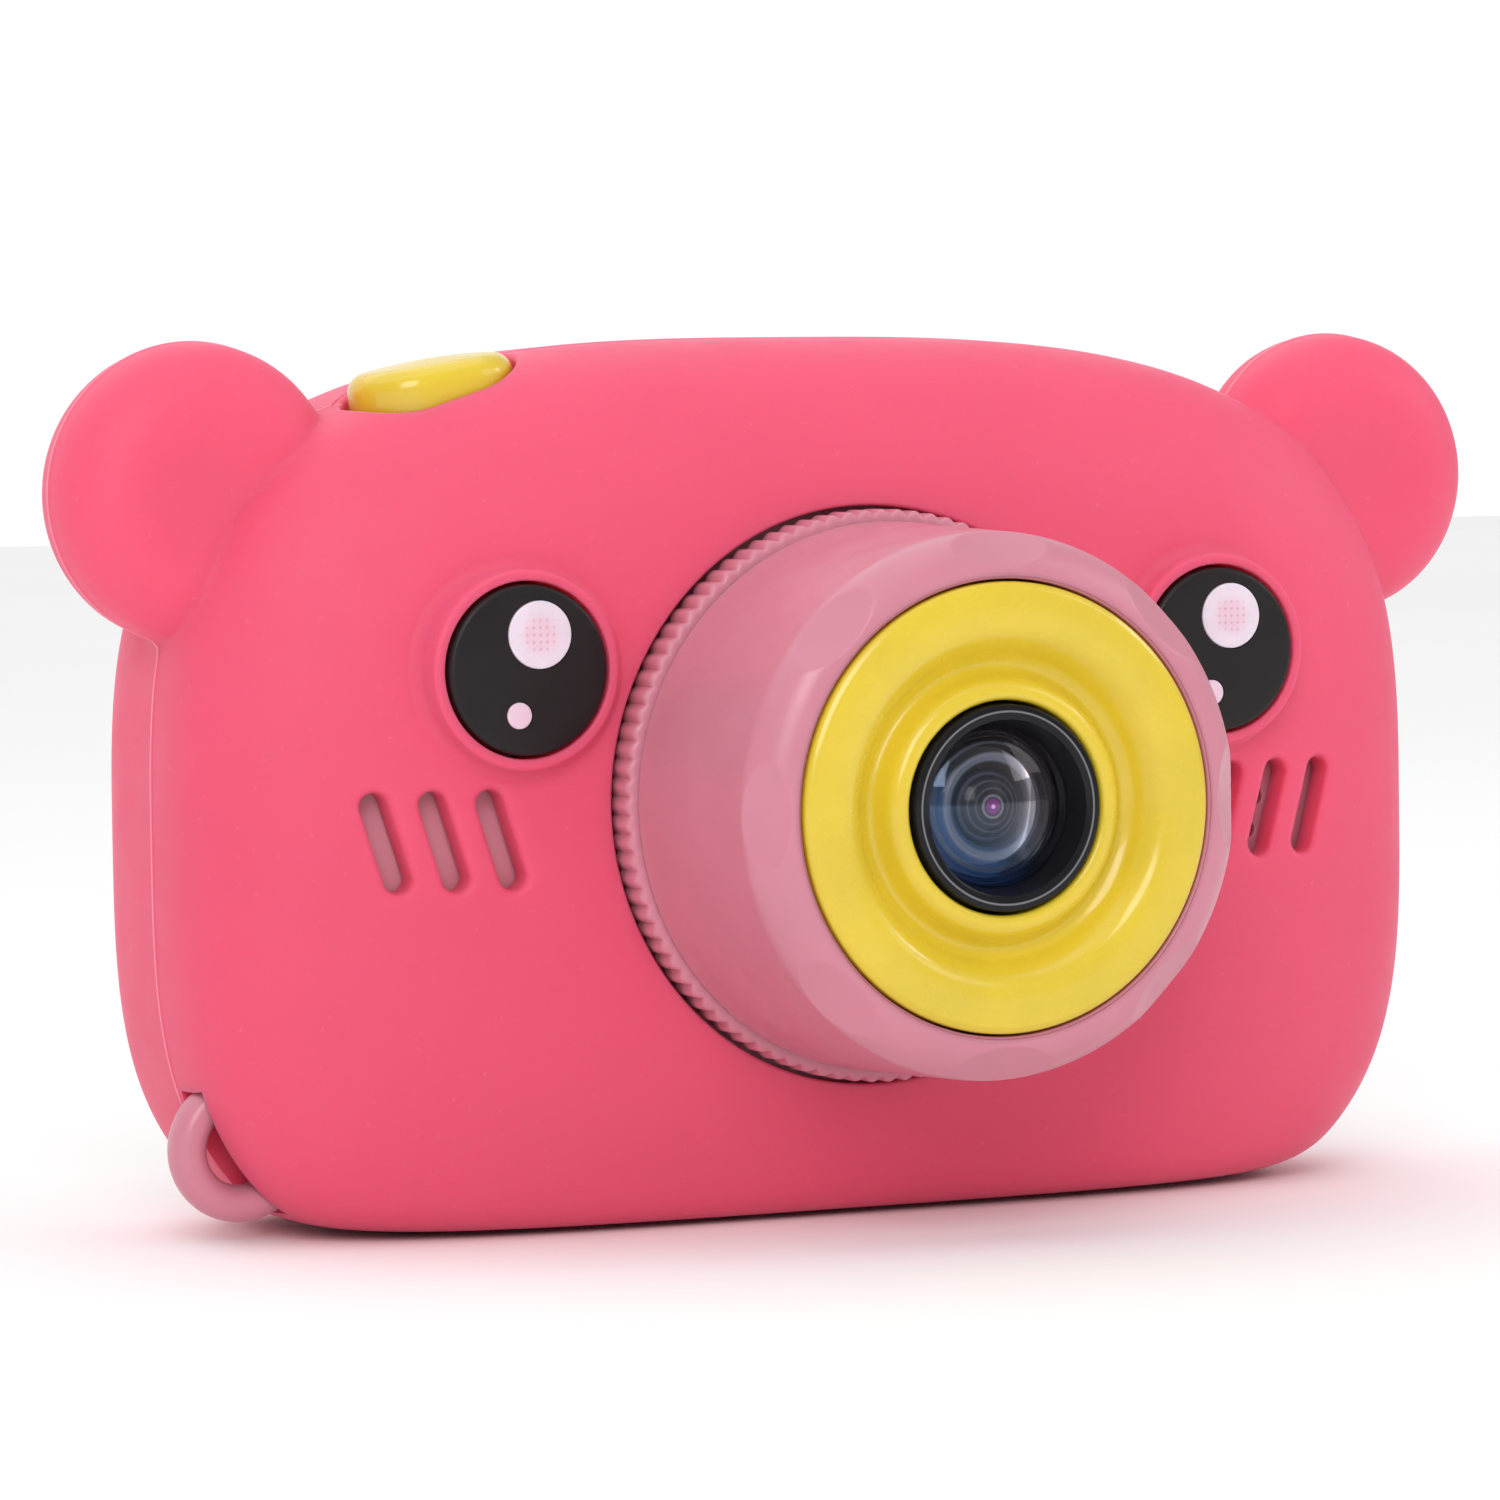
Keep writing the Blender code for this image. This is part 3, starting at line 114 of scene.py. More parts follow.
# Outline of the soft body: a rounded block, fuller at the back than at the front
HALF_WIDTH = 48.8 * MM
WAIST_Z = 28.2 * MM
TOP_REACH = 34.3 * MM
BOTTOM_REACH = 33.4 * MM
FRONT_DEPTH = 15.0 * MM
REAR_DEPTH = 17.2 * MM
TOP_POWER = 3.13
BOTTOM_POWER = 3.5
FRONT_POWER = 3.13
REAR_POWER = 5.0
LEVEL_BLEND = 3.0 * MM
BASE_PAD_HEIGHT = 0.4 * MM
BASE_PAD_THICKNESS = 1.6 * MM
BASE_PAD_HALF = (23 * MM, 8.5 * MM)
BASE_PAD_Y = 11.3 * MM
COVER_WALL = 2.2 * MM
SHELL_INSET = 2.5 * MM
CAVITY_INSET = 4.3 * MM

EAR_X = 45.4 * MM
EAR_Z = 52.0 * MM
EAR_RADIUS = 10.5 * MM
EAR_HALF_THICKNESS = 6.0 * MM
EAR_POWER = 2.6
EAR_DISH_RADIUS = 7.6 * MM
EAR_DISH_DEPTH = 1.5 * MM

EYE_X = 27.1 * MM
EYE_Z = 39.7 * MM
EYE_RADIUS = 5.9 * MM
BOSS_RADIUS = 6.9 * MM
BOSS_FRONT = FACE_Y - 0.9 * MM
SLOT_XS = (28.4 * MM, 32.4 * MM, 36.4 * MM)
SLOT_Z = 28.0 * MM
SLOT_LEAN = math.radians(17.0)
SLOT_SIZE = (7.2 * MM, 1.9 * MM)
SHUTTER_SIZE = (12.0 * MM, 8.8 * MM)
SHUTTER_SPOT = (-28.8 * MM, FACE_Y + 12.3 * MM, 61.2 * MM)
SHUTTER_TILT = math.radians(-9.0)
LOOP_SPOT = (-43.7 * MM, FACE_Y + 12.6 * MM, 6.6 * MM)
LOOP_RADIUS = 3.85 * MM
PANEL_Z = 31.0 * MM
PANEL_HALF = (39.5 * MM, 23.5 * MM)
PANEL_POWER = 3.4

# Holes in the cover and the shell: radius, or what is left clear round the piece inside
BARREL_HOLE_RADIUS = 20.4 * MM
EYE_CLEARANCE = 0.22 * MM
SHUTTER_CLEARANCE = 0.45 * MM
PANEL_CLEARANCE = 0.4 * MM
KEY_CLEARANCE = 0.3 * MM
INLAY_CLEARANCE = 0.06 * MM
LENS_HOLE_RADIUS = 9.0 * MM
DIFFUSER_HOLE_RADIUS = 2.35 * MM
PILOT_RADIUS = 1.15 * MM
SCREW_HOLE_RADIUS = 2.3 * MM
SOUND_HOLE_RADIUS = 0.6 * MM
FAR = 100 * MM
AHEAD = FACE_Y - 5 * MM
BEHIND = FACE_Y + 9 * MM

# Rear keys and their printed marks
KEY_COLLAR = 0.6 * MM
MARK_SINK = -0.05 * MM
MARK_RISE = 0.06 * MM


# How an outline's two coordinates and its height are laid on X, Y and Z
XZ = (0, 2, 1)
XY = (0, 1, 2)
YZ = (2, 0, 1)


# ---------------------------------------------------------------------------------------------
# Surfaces as arrays of points
# ---------------------------------------------------------------------------------------------

def signed_power(value, power):
    """Each number's size raised to a power, with its sign kept."""
    return np.sign(value) * np.abs(value) ** power


def level_off(z, floor):
    """Heights run smoothly into a flat: below the blend the floor, above it z, and between them
    the floor plus the square of (height + blend) over four blends."""
    height = z - floor
    blended = floor + (height + LEVEL_BLEND) ** 2 / (4 * LEVEL_BLEND)
    return np.where(height <= -LEVEL_BLEND, floor, np.where(height >= LEVEL_BLEND, z, blended))


def outward(points, loops, totals):
    """Turn every face round if the signed volume under the faces is negative."""
    starts = np.cumsum(totals) - totals
    first, second, third = (points[loops[starts + step]] for step in range(3))
    volume = np.einsum("ij,ij->", first, np.cross(second, third))
    four = totals == 4
    last = points[loops[starts[four] + 3]]
    volume += np.einsum("ij,ij->", first[four], np.cross(third[four], last))
    if volume < 0:
        place = np.arange(len(loops)) - np.repeat(starts, totals)
        loops = loops[np.repeat(starts + totals - 1, totals) - place]
    return points, loops, totals


def closed_skin(grid, ring=False):
    """Faces over a grid of points. The second index runs round a closed ring, ring also joins the
    last row to the first, and an end row that is one point closes as a pole."""
    rows, columns = grid.shape[:2]
    index = np.arange(rows * columns).reshape(rows, columns)
    if not ring:
        for row in (0, rows - 1):
            index[row] = index[row, 0]
            grid[row] = grid[row].mean(0)
    here, after = (index, np.roll(index, -1, 0)) if ring else (index[:-1], index[1:])
    quads = np.stack((here, after, np.roll(after, -1, 1), np.roll(here, -1, 1)), -1).reshape(-1, 4)
    keep = quads != np.roll(quads, 1, 1)
    totals = keep.sum(1)
    used, loops = np.unique(quads[keep], return_inverse=True)
    return outward(grid.reshape(-1, 3)[used], loops.reshape(-1), totals)


def mesh_from(name, skins):
    """One mesh that holds several closed skins."""
    shifts = np.cumsum([0] + [len(skin[0]) for skin in skins[:-1]])
    points = np.concatenate([skin[0] for skin in skins]).astype(np.float32)
    loops = np.concatenate([skin[1] + shift for skin, shift in zip(skins, shifts)]).astype(np.int32)
    totals = np.concatenate([skin[2] for skin in skins])
    mesh = bpy.data.meshes.new(name)
    mesh.vertices.add(len(points))
    mesh.vertices.foreach_set("co", points.ravel())
    mesh.loops.add(len(loops))
    mesh.loops.foreach_set("vertex_index", loops)
    mesh.polygons.add(len(totals))
    mesh.polygons.foreach_set("loop_start", (np.cumsum(totals) - totals).astype(np.int32))
    mesh.update(calc_edges=True)
    mesh.validate()
    return mesh


def middle_of(points):
    """The outline's middle, once for each of its points: a row that closes as a pole."""
    return points.mean(0) + 0 * points


def layered(rows):
    """A grid from rows of (flat outline, height), the height as the third coordinate."""
    return np.stack([np.column_stack((flat, np.full(len(flat), height))) for flat, height in rows])


def rough_piece(name, *skins):
    """An object that is still being worked on."""
    obj = bpy.data.objects.new(name, mesh_from(name, skins))
    bpy.context.scene.collection.objects.link(obj)
    return obj


def keep_result(target):
    """Replace a piece's mesh by what its modifiers make of it."""
    depsgraph = bpy.context.evaluated_depsgraph_get()
    result = bpy.data.meshes.new_from_object(target.evaluated_get(depsgraph))
    if len(result.polygons) == 0:
        raise RuntimeError(f"{target.name} came out empty")
    target.modifiers.clear()
    before = target.data
    target.data = result
    bpy.data.meshes.remove(before)


def carve(target, operation, *skins):
    """Join closed skins to a piece, or take them away, and keep the result as its mesh."""
    tool = rough_piece(target.name + "_tool", *skins)
    modifier = target.modifiers.new("Carve", "BOOLEAN")
    modifier.operation = operation
    modifier.solver = "MANIFOLD"
    modifier.object = tool
    keep_result(target)
    data = tool.data
    bpy.data.objects.remove(tool)
    bpy.data.meshes.remove(data)
    return target


def finished(obj, material, body, slot, *nodes, crease=38.0):
    """Shade a piece smooth up to the crease angle, give it its finish and tie it to the frame."""
    obj.data.polygons.foreach_set("use_smooth", np.ones(len(obj.data.polygons), bool))
    obj.data.set_sharp_from_angle(angle=math.radians(crease))
    obj.data.name = obj.name
    obj.data.materials.clear()
    obj.data.materials.append(material)
    obj.data.polygons.foreach_set("material_index", np.zeros(len(obj.data.polygons), np.int32))
    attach(obj, body)
    if nodes:
        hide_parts(*nodes)
    return obj


def angles(count):
    """Evenly spaced angles round a circle."""
    return np.linspace(0.0, math.tau, count, endpoint=False)


def arc(radius_at, y_at, radius, start, end, count):
    """Points (radius, y) on a circular arc; angles in degrees, 0 outwards and 90 to the front."""
    turn = np.radians(np.linspace(start, end, count))
    return np.column_stack((radius_at + radius * np.cos(turn), y_at - radius * np.sin(turn)))


def profile_of(*parts):
    """One (radius, y) profile from points and arcs, in millimetres, made metres."""
    return np.concatenate([np.atleast_2d(part) for part in parts]) * MM


def lathe(x, z, profile, count, ring=True):
    """Each (radius, y) of the profile carried round an axis along Y through (x, z)."""
    turn = angles(count)
    radius, y = profile[:, :1], profile[:, 1:]
    grid = np.stack((x + radius * np.cos(turn), y + 0 * turn, z + radius * np.sin(turn)), -1)
    return closed_skin(grid, ring)


def pill(length, width, count):
    """Points and outward normals of a stadium along the first axis: half circles at both ends."""
    turn = angles(count) + math.pi / count
    normals = np.column_stack((np.cos(turn), np.sin(turn)))
    shift = np.sign(normals[:, :1]) * (length - width) / 2
    return normals * width / 2 + np.hstack((shift, 0 * shift)), normals


def disc(radius, count):
    """Points and outward normals of a circle."""
    turn = angles(count)
    normals = np.column_stack((np.cos(turn), np.sin(turn)))
    return normals * radius, normals


def squared(half_a, half_b, power, count):
    """Points and outward normals of a superellipse |a/A|^n + |b/B|^n = 1."""
    turn = angles(count)
    points = np.column_stack((half_a * signed_power(np.cos(turn), 2 / power),
                              half_b * signed_power(np.sin(turn), 2 / power)))
    slopes = np.column_stack((signed_power(points[:, 0] / half_a, power - 1) / half_a,
                              signed_power(points[:, 1] / half_b, power - 1) / half_b))
    return points, slopes / np.linalg.norm(slopes, axis=1, keepdims=True)


def rounded_box(half_a, half_b, corner, count):
    """Points and outward normals of a rectangle with round corners."""
    turn = angles(count) + math.pi / count
    normals = np.column_stack((np.cos(turn), np.sin(turn)))
    shift = np.sign(normals) * (np.array((half_a, half_b)) - corner)
    return normals * corner + shift, normals


def turned_by(shape, angle, spot):
    """A flat outline turned by an angle and moved to a spot."""
    points, normals = shape
    spin = np.array(((math.cos(angle), math.sin(angle)), (-math.sin(angle), math.cos(angle))))
    return points @ spin + np.array(spot), normals @ spin


# ---------------------------------------------------------------------------------------------
# The body's own surface
# ---------------------------------------------------------------------------------------------

def half_reach(z, inset):
    """Power and reach of the outline above and below the waist."""
    above = z > WAIST_Z
    return np.where(above, TOP_POWER, BOTTOM_POWER), np.where(above, TOP_REACH, BOTTOM_REACH) - inset


def front_y(x, z, inset=0.0):
    """Front surface: with rho = (|x/A|^n + |dz/B|^n)^(1/n), y is the parting line less the depth
    times (1 - rho^p)^(1/p)."""
    power, reach = half_reach(z, inset)
    spread = (np.abs(x) / (HALF_WIDTH - inset)) ** power + (np.abs(z - WAIST_Z) / reach) ** power
    rise = np.clip(1 - spread ** (FRONT_POWER / power), 0, 1) ** (1 / FRONT_POWER)
    return PARTING_Y - (FRONT_DEPTH - inset) * rise


def rear_y(x, z, inset=0.0):
    """Rear surface: the front surface's rule with the rear depth and power, behind the parting."""
    power, reach = half_reach(z, inset)
    spread = (np.abs(x) / (HALF_WIDTH - inset)) ** power + (np.abs(z - WAIST_Z) / reach) ** power
    rise = np.clip(1 - spread ** (REAR_POWER / power), 0, 1) ** (1 / REAR_POWER)
    return PARTING_Y + (REAR_DEPTH - inset) * rise


def ring_share(y):
    """Share of the full outline that is left at depth y: (1 - |dy/D|^p)^(1/p)."""
    front = y < PARTING_Y
    power = np.where(front, FRONT_POWER, REAR_POWER)
    depth = np.where(front, FRONT_DEPTH, REAR_DEPTH)
    return np.clip(1 - (np.abs(y - PARTING_Y) / depth) ** power, 1e-9, 1) ** (1 / power)


def top_z(x, y):
    """Top surface over (x, y): the outline's rule solved for z at the share left at y."""
    share = ring_share(y)
    left = np.clip(1 - (np.abs(x) / (HALF_WIDTH * share)) ** TOP_POWER, 0, 1)
    return WAIST_Z + TOP_REACH * share * left ** (1 / TOP_POWER)


def side_x(y, z):
    """Right side over (y, z): the outline's rule solved for x at the share left at y."""
    share = ring_share(y)
    power, reach = half_reach(z, 0.0)
    left = np.clip(1 - (np.abs(z - WAIST_Z) / (reach * share)) ** power, 0, 1)
    return HALF_WIDTH * share * left ** (1 / power)


def shell_front(x, z):
    """Front surface of the hard shell."""
    return front_y(x, z, SHELL_INSET)


def shell_side(y, z):
    """Right side of the hard shell: the cover's side less the shell's inset."""
    return side_x(y, z) - SHELL_INSET


def eye_seat(x, z):
    """Flat front of an eye's seat."""
    return BOSS_FRONT + 0 * x


def rear_panel(x, z):
    """Flat back of the raised rear panel."""
    return PANEL_Y + 0 * x


def evenly(curve, count, closed):
    """Positions along a dense curve that are equally far apart, as fractional indices."""
    steps = np.linalg.norm(np.diff(curve, axis=0), axis=1)
    length = np.concatenate(([0.0], np.cumsum(steps)))
    wanted = np.linspace(0.0, length[-1], count, endpoint=not closed)
    return np.interp(wanted, length, np.arange(len(curve)))


def body_skin(inset, columns, rows, seam=0.0):
    """The rounded body. Round the outline x = A s c(a), z = waist + B s c'(a), where c and c' are
    powers of the cosine and sine; along the depth s = (1 - |y/D|^p)^(1/p). Both are spaced evenly
    by length, and seam raises a fine mould line round the parting plane."""
    dense = np.linspace(0.0, math.tau, 6001)
    above = np.sin(dense) > 0
    power = np.where(above, TOP_POWER, BOTTOM_POWER)
    reach = np.where(above, TOP_REACH, BOTTOM_REACH) - inset
    across = (HALF_WIDTH - inset) * signed_power(np.cos(dense), 2 / power)
    upward = reach * signed_power(np.sin(dense), 2 / power)
    outline = np.column_stack((across, upward))
    spot = evenly(outline, columns, True)
    order = np.arange(len(dense))
    across, upward = np.interp(spot, order, across), np.interp(spot, order, upward)
    turn = np.linspace(0.0, math.pi / 2, 3001)
    mean = (HALF_WIDTH + TOP_REACH) / 2 - inset
    halves = ((-1, FRONT_DEPTH - inset, FRONT_POWER), (1, REAR_DEPTH - inset, REAR_POWER))
    shares, depths = [], []
    for sign, depth, power in halves:
        curve = np.column_stack((mean * np.sin(turn) ** (2 / power), depth * np.cos(turn) ** (2 / power)))
        pick = evenly(curve, rows, False)
        out = np.interp(pick, np.arange(len(turn)), curve[:, 1])
        share = np.interp(pick, np.arange(len(turn)), curve[:, 0]) / mean
        # close rows next to the parting plane carry the mould line
        clear = out > 0.6 * MM
        near = np.array((0.42, 0.3, 0.2, 0.12, 0.05)) * MM
        close = (1 - (near / depth) ** power) ** (1 / power)
        out, share = np.concatenate((out[clear], near)), np.concatenate((share[clear], close))
        shares.append(share if sign < 0 else share[::-1])
        depths.append(sign * out if sign < 0 else out[::-1])
    share, depth = np.concatenate(shares)[:, None], np.concatenate(depths)[:, None]
    x, z = share * across, share * upward
    size = np.hypot(x, z)
    lift = seam * np.exp(-(depth / (0.16 * MM)) ** 2) * np.clip((z + WAIST_Z) / (6 * MM) - 0.6, 0, 1)
    stretch = 1 + lift / np.maximum(size, MM)
    x, z = x * stretch, WAIST_Z + z * stretch
    grid = np.stack((x, PARTING_Y + depth + 0 * x, level_off(z, max(inset, BASE_PAD_HEIGHT))), -1)
    return closed_skin(grid)


def ear_skin(side, seam):
    """One ear: radius R sin(t)^(2/p), half thickness times cos(t)^(2/p), and in the front a dish
    whose depth falls as the square of 1 - (r/R)^2. A fine mould line runs round its edge."""
    edge = np.radians((89.0, 90.0, 91.0))
    tilt = np.concatenate((np.linspace(0, math.radians(87.6), 34), edge,
                           np.linspace(math.radians(92.4), math.pi, 26)))[:, None]
    turn = angles(128)
    reach = EAR_RADIUS * np.sin(tilt) ** (2 / EAR_POWER)
    y = -EAR_HALF_THICKNESS * signed_power(np.cos(tilt), 2 / EAR_POWER)
    hollow = np.clip(1 - (reach / EAR_DISH_RADIUS) ** 2, 0, 1) ** 2
    y = y + np.where(np.cos(tilt) > 0, EAR_DISH_DEPTH * hollow, 0)
    reach = reach + seam * np.exp(-((tilt - math.pi / 2) / math.radians(1.1)) ** 2)
    grid = np.stack((side * EAR_X + reach * np.cos(turn), PARTING_Y + y + 0 * turn,
                     EAR_Z + reach * np.sin(turn)), -1)
    return closed_skin(grid)


def boss_skin(side, fillet):
    """Raised round seat of an eye: a concave quarter arc rises from the body's surface to the
    wall, and a small quarter arc turns over into the flat front."""
    spot = np.array((side * EYE_X, EYE_Z))
    turn = angles(112)
    ring = np.column_stack((np.cos(turn), np.sin(turn)))
    bend = np.radians(np.linspace(10, 90, 9))
    edge = 0.34 * MM
    over = np.radians(np.linspace(0, 90, 6))
    rows = [np.column_stack((spot + 0 * ring, np.full(len(ring), PARTING_Y)))]
    foot = spot + ring * (BOSS_RADIUS + fillet * (1 - math.sin(bend[0])))
    rows.append(np.column_stack((foot, front_y(foot[:, 0], foot[:, 1]) + 1.0 * MM)))
    for angle in bend:
        flat = spot + ring * (BOSS_RADIUS + fillet * (1 - math.sin(angle)))
        level = front_y(flat[:, 0], flat[:, 1]) - fillet * (1 - math.cos(angle))
        rows.append(np.column_stack((flat, level)))
    for angle in over:
        flat = spot + ring * (BOSS_RADIUS - edge * (1 - math.cos(angle)))
        rows.append(np.column_stack((flat, np.full(len(ring), BOSS_FRONT + edge * (1 - math.sin(angle))))))
    rows.append(np.column_stack((spot + 0 * ring, np.full(len(ring), BOSS_FRONT))))
    return closed_skin(np.stack(rows)[..., XZ])


def flared_hole(shape, surface, order, lip, inner, sign, lean=(0.0, 0.0)):
    """A hole through a curved wall with a rolled lip: the outline's wall runs up to one lip radius
    below the surface, follows a quarter circle out to it, and goes on into the open. surface
    gives the wall's outer coordinate, sign the way out along it, and lean shears the hole."""
    points, normals = shape
    bend = np.radians(np.linspace(0, 74, 7))
    offsets = np.concatenate((lip * (1 - np.cos(bend)), [lip * 1.25, lip * 1.25]))
    depths = np.concatenate((lip * (1 - np.sin(bend)), [-0.11 * lip, -6 * MM]))
    rows = [(middle_of(points), inner), (points, inner)]
    for offset, depth in zip(offsets, depths):
        flat = points + normals * offset
        rows.append((flat, surface(flat[:, 0], flat[:, 1]) - sign * depth))
    rows.append((middle_of(points), rows[-1][1].mean()))
    grid = layered(rows)
    level = surface(*points.mean(0)[:, None])[0]
    grid[..., :2] += (grid[..., 2:] - level) * np.array(lean)
    return closed_skin(grid[..., order])


def block(low, high):
    """A plain box as a closed skin, for trimming."""
    outline = np.array(((low[0], low[1]), (high[0], low[1]), (high[0], high[1]), (low[0], high[1])))
    middle = middle_of(outline)
    return closed_skin(layered([(middle, low[2]), (outline, low[2]), (outline, high[2]), (middle, high[2])]))


def straight_hole(shape, front, back):
    """A straight-walled hole along Y."""
    points = shape[0]
    middle = middle_of(points)
    rows = [(middle, front), (points, front), (points, back), (middle, back)]
    return closed_skin(layered(rows)[..., XZ])


def bored(x, z, radius, front, back, count=40):
    """A round hole along Y."""
    return straight_hole(turned_by(disc(radius, count), 0.0, (x, z)), front, back)


def port_shape(node, half_y, half_z, corner, count):
    """Outline of a port in the right side, round the middle of its socket."""
    return turned_by(rounded_box(half_y, half_z, corner, count), 0.0, centre(node)[[1, 2]])


def shutter_point(points, height):
    """Points of the tilted shutter button: along it, across it and up its own axis."""
    lean = -SHUTTER_TILT
    along, across = points[:, 0], points[:, 1]
    x = SHUTTER_SPOT[0] + along * math.cos(lean) - height * math.sin(lean)
    z = SHUTTER_SPOT[2] + along * math.sin(lean) + height * math.cos(lean)
    return np.column_stack((x, SHUTTER_SPOT[1] + across, z))


def shutter_column(points, low, high):
    """An outline carried straight along the shutter button's own axis, closed at both ends."""
    rows = [(points * 0, low), (points, low), (points, high), (points * 0, high)]
    return closed_skin(np.stack([shutter_point(flat, height) for flat, height in rows]))


def bean(grow, count):
    """Outline of the shutter button: a stadium, as large as its hole less the clearance."""
    return pill(SHUTTER_SIZE[0] + 2 * grow, SHUTTER_SIZE[1] + 2 * grow, count)


# ---------------------------------------------------------------------------------------------
# Finishes
# ---------------------------------------------------------------------------------------------

class Nodes:
    """A material's node tree with short ways to add to it."""

    def __init__(self, name):
        self.material = bpy.data.materials.new(name)
        self.material.use_nodes = True
        self.tree = self.material.node_tree
        self.shader = self.tree.nodes["Principled BSDF"]
        self.place = self.add("ShaderNodeTexCoord").outputs["Object"]

    def add(self, kind, **values):
        """A node with its settings."""
        node = self.tree.nodes.new(kind)
        for key, value in values.items():
            setattr(node, key, value)
        return node

    def put(self, socket, value):
        """Link an output to an input, or set the input."""
        if isinstance(value, bpy.types.NodeSocket):
            self.tree.links.new(value, socket)
        else:
            socket.default_value = value

    def sum(self, operation, first, second=0.0, third=0.0):
        """A Math node."""
        node = self.add("ShaderNodeMath", operation=operation)
        for socket, value in zip(node.inputs, (first, second, third)):
            self.put(socket, value)
        return node.outputs[0]

    def noise(self, size, detail=3.0, stretch=(1.0, 1.0, 1.0), rough=0.55):
        """Noise whose features are about size metres across."""
        mapping = self.add("ShaderNodeMapping")
        self.put(mapping.inputs["Vector"], self.place)
        mapping.inputs["Scale"].default_value = stretch
        node = self.add("ShaderNodeTexNoise")
        self.put(node.inputs["Vector"], mapping.outputs[0])
        node.inputs["Scale"].default_value = 1.0 / size
        node.inputs["Detail"].default_value = detail
        node.inputs["Roughness"].default_value = rough
        return node.outputs["Fac"]

    def ranged(self, value, low, high, to_low, to_high, smooth=True):
        """A value moved from one range to another."""
        node = self.add("ShaderNodeMapRange", interpolation_type="SMOOTHSTEP" if smooth else "LINEAR")
        for socket, item in zip(node.inputs, (value, low, high, to_low, to_high)):
            self.put(socket, item)
        return node.outputs[0]

    def wave(self, operation, axis, pitch):
        """Sine or cosine along an axis, one turn to each pitch."""
        return self.sum(operation, self.sum("MULTIPLY", axis, math.tau / pitch))

    def cells(self, size, feature="F1"):
        """Distance inside round cells about size metres across."""
        node = self.add("ShaderNodeTexVoronoi", feature=feature)
        self.put(node.inputs["Vector"], self.place)
        node.inputs["Scale"].default_value = 1 / size
        return node.outputs["Distance"]

    def mix(self, share, first, second):
        """Two colours mixed."""
        node = self.add("ShaderNodeMix", data_type="RGBA", blend_type="MIX")
        self.put(node.inputs[0], share)
        for socket, item in zip(node.inputs[6:8], (first, second)):
            self.put(socket, item)
        return node.outputs[2]

    def axes(self, spot=(0.0, 0.0, 0.0)):
        """Distances from a spot along X, Y and Z."""
        node = self.add("ShaderNodeVectorMath", operation="SUBTRACT")
        self.put(node.inputs[0], self.place)
        node.inputs[1].default_value = spot
        split = self.add("ShaderNodeSeparateXYZ")
        self.put(split.inputs[0], node.outputs[0])
        return split.outputs

    def radius(self, x, z):
        """Distance from an axis along Y."""
        axes = self.axes((x, 0.0, z))
        return self.sum("SQRT", self.sum("ADD", self.sum("POWER", self.sum("ABSOLUTE", axes[0]), 2.0),
                                         self.sum("POWER", self.sum("ABSOLUTE", axes[2]), 2.0)))

    def bump(self, height, distance, strength=1.0, under=None):
        """A Bump node over another."""
        node = self.add("ShaderNodeBump")
        self.put(node.inputs["Height"], height)
        node.inputs["Distance"].default_value = distance
        node.inputs["Strength"].default_value = strength
        if under is not None:
            self.put(node.inputs["Normal"], under)
        return node.outputs[0]


def shade(colour, factor):
    """A colour made darker or lighter."""
    return tuple(min(channel * factor, 1.0) for channel in colour[:3]) + (1.0,)


def moulded(name, colour, rough, grain, grain_depth, mottle=0.05, patch=12 * MM, spread=0.06, wave=0.0,
            **sockets):
    """Moulded plastic or rubber: slow colour patches, a fine grain in the bump, a shallow flow
    ripple and uneven roughness. Other values are set on the shader's own sockets."""
    nodes = Nodes(name)
    patches = nodes.noise(patch, 2.0)
    fine = nodes.noise(grain, 2.0)
    specks = nodes.noise(grain * 5, 4.0)
    patches = nodes.ranged(patches, 0.3, 0.7, 0.0, 1.0)
    tint = nodes.mix(patches, shade(colour, 1 - mottle), shade(colour, 1 + mottle))
    tint = nodes.mix(nodes.ranged(specks, 0.35, 0.75, 0.0, mottle), tint, shade(colour, 1.25))
    nodes.put(nodes.shader.inputs["Base Color"], tint)
    worn = nodes.ranged(nodes.noise(patch / 3, 4.0), 0.3, 0.7, rough - spread, rough + spread)
    nodes.put(nodes.shader.inputs["Roughness"], worn)
    normal = nodes.bump(fine, grain_depth)
    if wave:
        normal = nodes.bump(nodes.noise(patch / 2, 1.0), wave, 1.0, normal)
    nodes.put(nodes.shader.inputs["Normal"], normal)
    for socket, value in sockets.items():
        nodes.shader.inputs[socket.replace("_", " ")].default_value = value
    nodes.colour = tint
    return nodes


